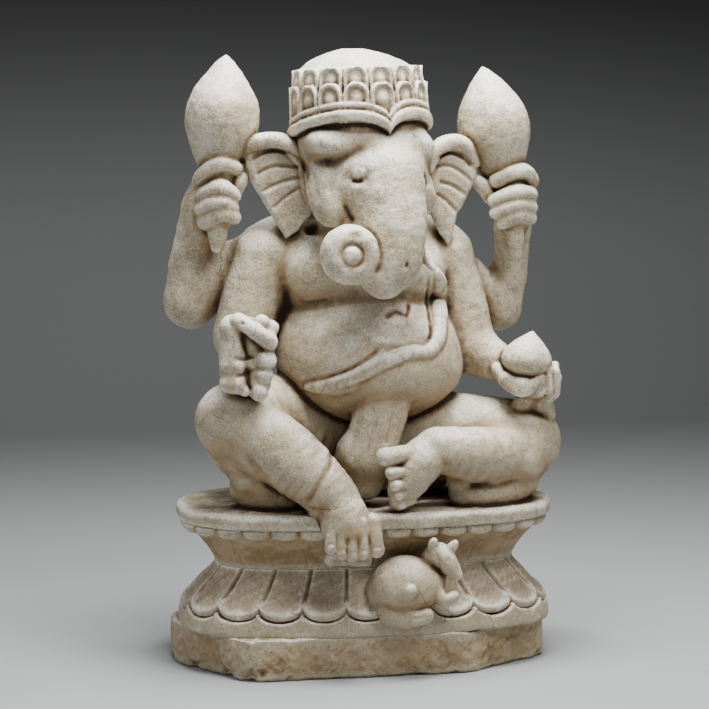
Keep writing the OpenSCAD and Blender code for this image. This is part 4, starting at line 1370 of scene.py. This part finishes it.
        rows = [(16, SLAB_H + 0.2), (8, SLAB_H + 0.2), (4.4, SLAB_H + 0.5), (2.4, SLAB_H + 1.2),
                (1.2, SLAB_H + 2.4), (0.6, SLAB_H + 4.2), (0.4, SLAB_H + 6.4), (0.4, SLAB_H + 8.6),
                (0.6, -5.6), (1.2, -3.8), (2.3, -2.3), (4.0, -1.1), (6.4, -0.4), (9.2, -0.1)]
        rows += [(inset, 0.0) for inset in np.arange(11.5, 78, 2.0)]
        base_piece("seat_slab", rows, place, 0.5, 0.25, block=block)


class IDOL_OT_stage(bpy.types.Operator):
    """Sets the pale floor, the soft lights and the camera"""
    bl_idname = "idol.stage"
    bl_label = "Stage"

    def execute(self, context):
        scene = context.scene
        half, back, curve, tall = 3.0, 1.6, 0.8, 2.6
        bend = np.array([(y, 0.0) for y in np.linspace(-half, back, 24)]
                        + [(back + curve * math.sin(a), curve - curve * math.cos(a))
                           for a in np.linspace(0.05, math.pi / 2, 20)] + [(back + curve, tall)])
        xs = np.array([-half, half])
        grid = np.array([[(x, y, z) for x in xs] for y, z in bend]).reshape(-1, 3)
        k = np.arange(len(bend) - 1) * 2
        faces = np.stack([k, k + 1, k + 3, k + 2], axis=1)
        mesh = bpy.data.meshes.new("floor")
        mesh.from_pydata(grid.tolist(), [], faces.tolist())
        mesh.polygons.foreach_set("use_smooth", np.ones(len(faces), bool))
        s = Shader("floor")
        away = s.node("ShaderNodeSeparateXYZ", {}, {"Vector": s.place()}, "Y")
        height = s.node("ShaderNodeSeparateXYZ", {}, {"Vector": s.place()}, "Z")
        # painted shade: the floor turns grey with distance and near-black up the backdrop, standing in for
        # light falling off
        colour = s.mix(away.eased(-0.7, 1.9, 0.92), colours().floor, colours().backdrop)
        colour = s.mix(height.eased(0.22, 1.0), colour, BACKDROP_TOP_SHADE)
        surface = s.node("ShaderNodeBsdfPrincipled", {}, {"Base Color": colour, "Roughness": 0.75})
        s.node("ShaderNodeOutputMaterial", {}, {"Surface": surface})
        mesh.materials.append(s.material)
        floor = bpy.data.objects.new("floor", mesh)
        scene.collection.objects.link(floor)

        middle = np.array([0.0, 0.0, 0.3])
        for name, place, size, power, warm in (
                ("key", (0.55, -0.80, 1.42), 0.5, 14.0, (1.0, 0.985, 0.96)),
                ("fill", (-1.35, -0.8, 1.15), 0.8, 4.0, (1.0, 0.99, 0.97)),
                ("top", (0.05, -0.16, 1.35), 0.5, 33, (1.0, 0.99, 0.97)),
                ("rim", (-1.5, 0.6, 0.9), 0.9, 5, (1.0, 1.0, 1.0)),
                ("floor_light", (0.0, -2.6, 1.6), 1.2, 5, (0.97, 0.99, 1.0))):
            light = bpy.data.lights.new(name, "AREA")
            light.shape = "SQUARE"
            light.size = size
            light.energy = power
            light.color = warm
            lamp = bpy.data.objects.new(name, light)
            lamp.location = place
            aim(lamp, middle)
            scene.collection.objects.link(lamp)
        world = bpy.data.worlds.new("studio")
        world.use_nodes = True
        world.node_tree.nodes["Background"].inputs["Color"].default_value = (0.75, 0.77, 0.8, 1)
        world.node_tree.nodes["Background"].inputs["Strength"].default_value = 0.09
        scene.world = world

        camera = bpy.data.cameras.new("camera")
        camera.lens = 102.57
        camera.sensor_width = 36
        camera.shift_x, camera.shift_y = -0.005, 0.002
        view = bpy.data.objects.new("camera", camera)
        around, above, away = math.radians(-10), math.radians(6), 2.0
        view.location = middle + away * np.array([math.sin(around) * math.cos(above),
                                                 -math.cos(around) * math.cos(above), math.sin(above)])
        aim(view, middle)
        scene.collection.objects.link(view)
        scene.camera = view
        return {"FINISHED"}


def aim(thing, target):
    """Turns a lamp or camera so that it looks at a point."""
    way = Vector(target) - Vector(thing.location)
    thing.rotation_euler = way.to_track_quat("-Z", "Y").to_euler()


class IDOL_PT_panel(bpy.types.Panel):
    """Lists the steps of the carving"""
    bl_idname = "IDOL_PT_panel"
    bl_label = "Carved marble idol"
    bl_space_type = "VIEW_3D"
    bl_region_type = "UI"
    bl_category = "Idol"

    def draw(self, context):
        for name in IDOL_PG_sizes.__annotations__:
            self.layout.prop(context.scene.idol_sizes, name)
        for name in IDOL_PG_colours.__annotations__:
            self.layout.prop(context.scene.idol_colours, name)
        for step in STEPS:
            self.layout.operator(step.bl_idname)


STEPS = (IDOL_OT_marbles, IDOL_OT_torso, IDOL_OT_legs, IDOL_OT_front_arms, IDOL_OT_rear_arms,
         IDOL_OT_head, IDOL_OT_crown, IDOL_OT_lines, IDOL_OT_finish_figure, IDOL_OT_base,
         IDOL_OT_mouse, IDOL_OT_stage)
CLASSES = (IDOL_PG_sizes, IDOL_PG_colours, *STEPS, IDOL_PT_panel)


def register():
    for item in CLASSES:
        bpy.utils.register_class(item)
    bpy.types.Scene.idol_sizes = bpy.props.PointerProperty(type=IDOL_PG_sizes)
    bpy.types.Scene.idol_colours = bpy.props.PointerProperty(type=IDOL_PG_colours)


def unregister():
    del bpy.types.Scene.idol_colours
    del bpy.types.Scene.idol_sizes
    for item in reversed(CLASSES):
        bpy.utils.unregister_class(item)


def main():
    """Registers the add-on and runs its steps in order."""
    register()
    for step in STEPS:
        group, name = step.bl_idname.split(".")
        getattr(getattr(bpy.ops, group), name)()
    bpy.context.view_layer.update()


if __name__ == "__main__":
    main()
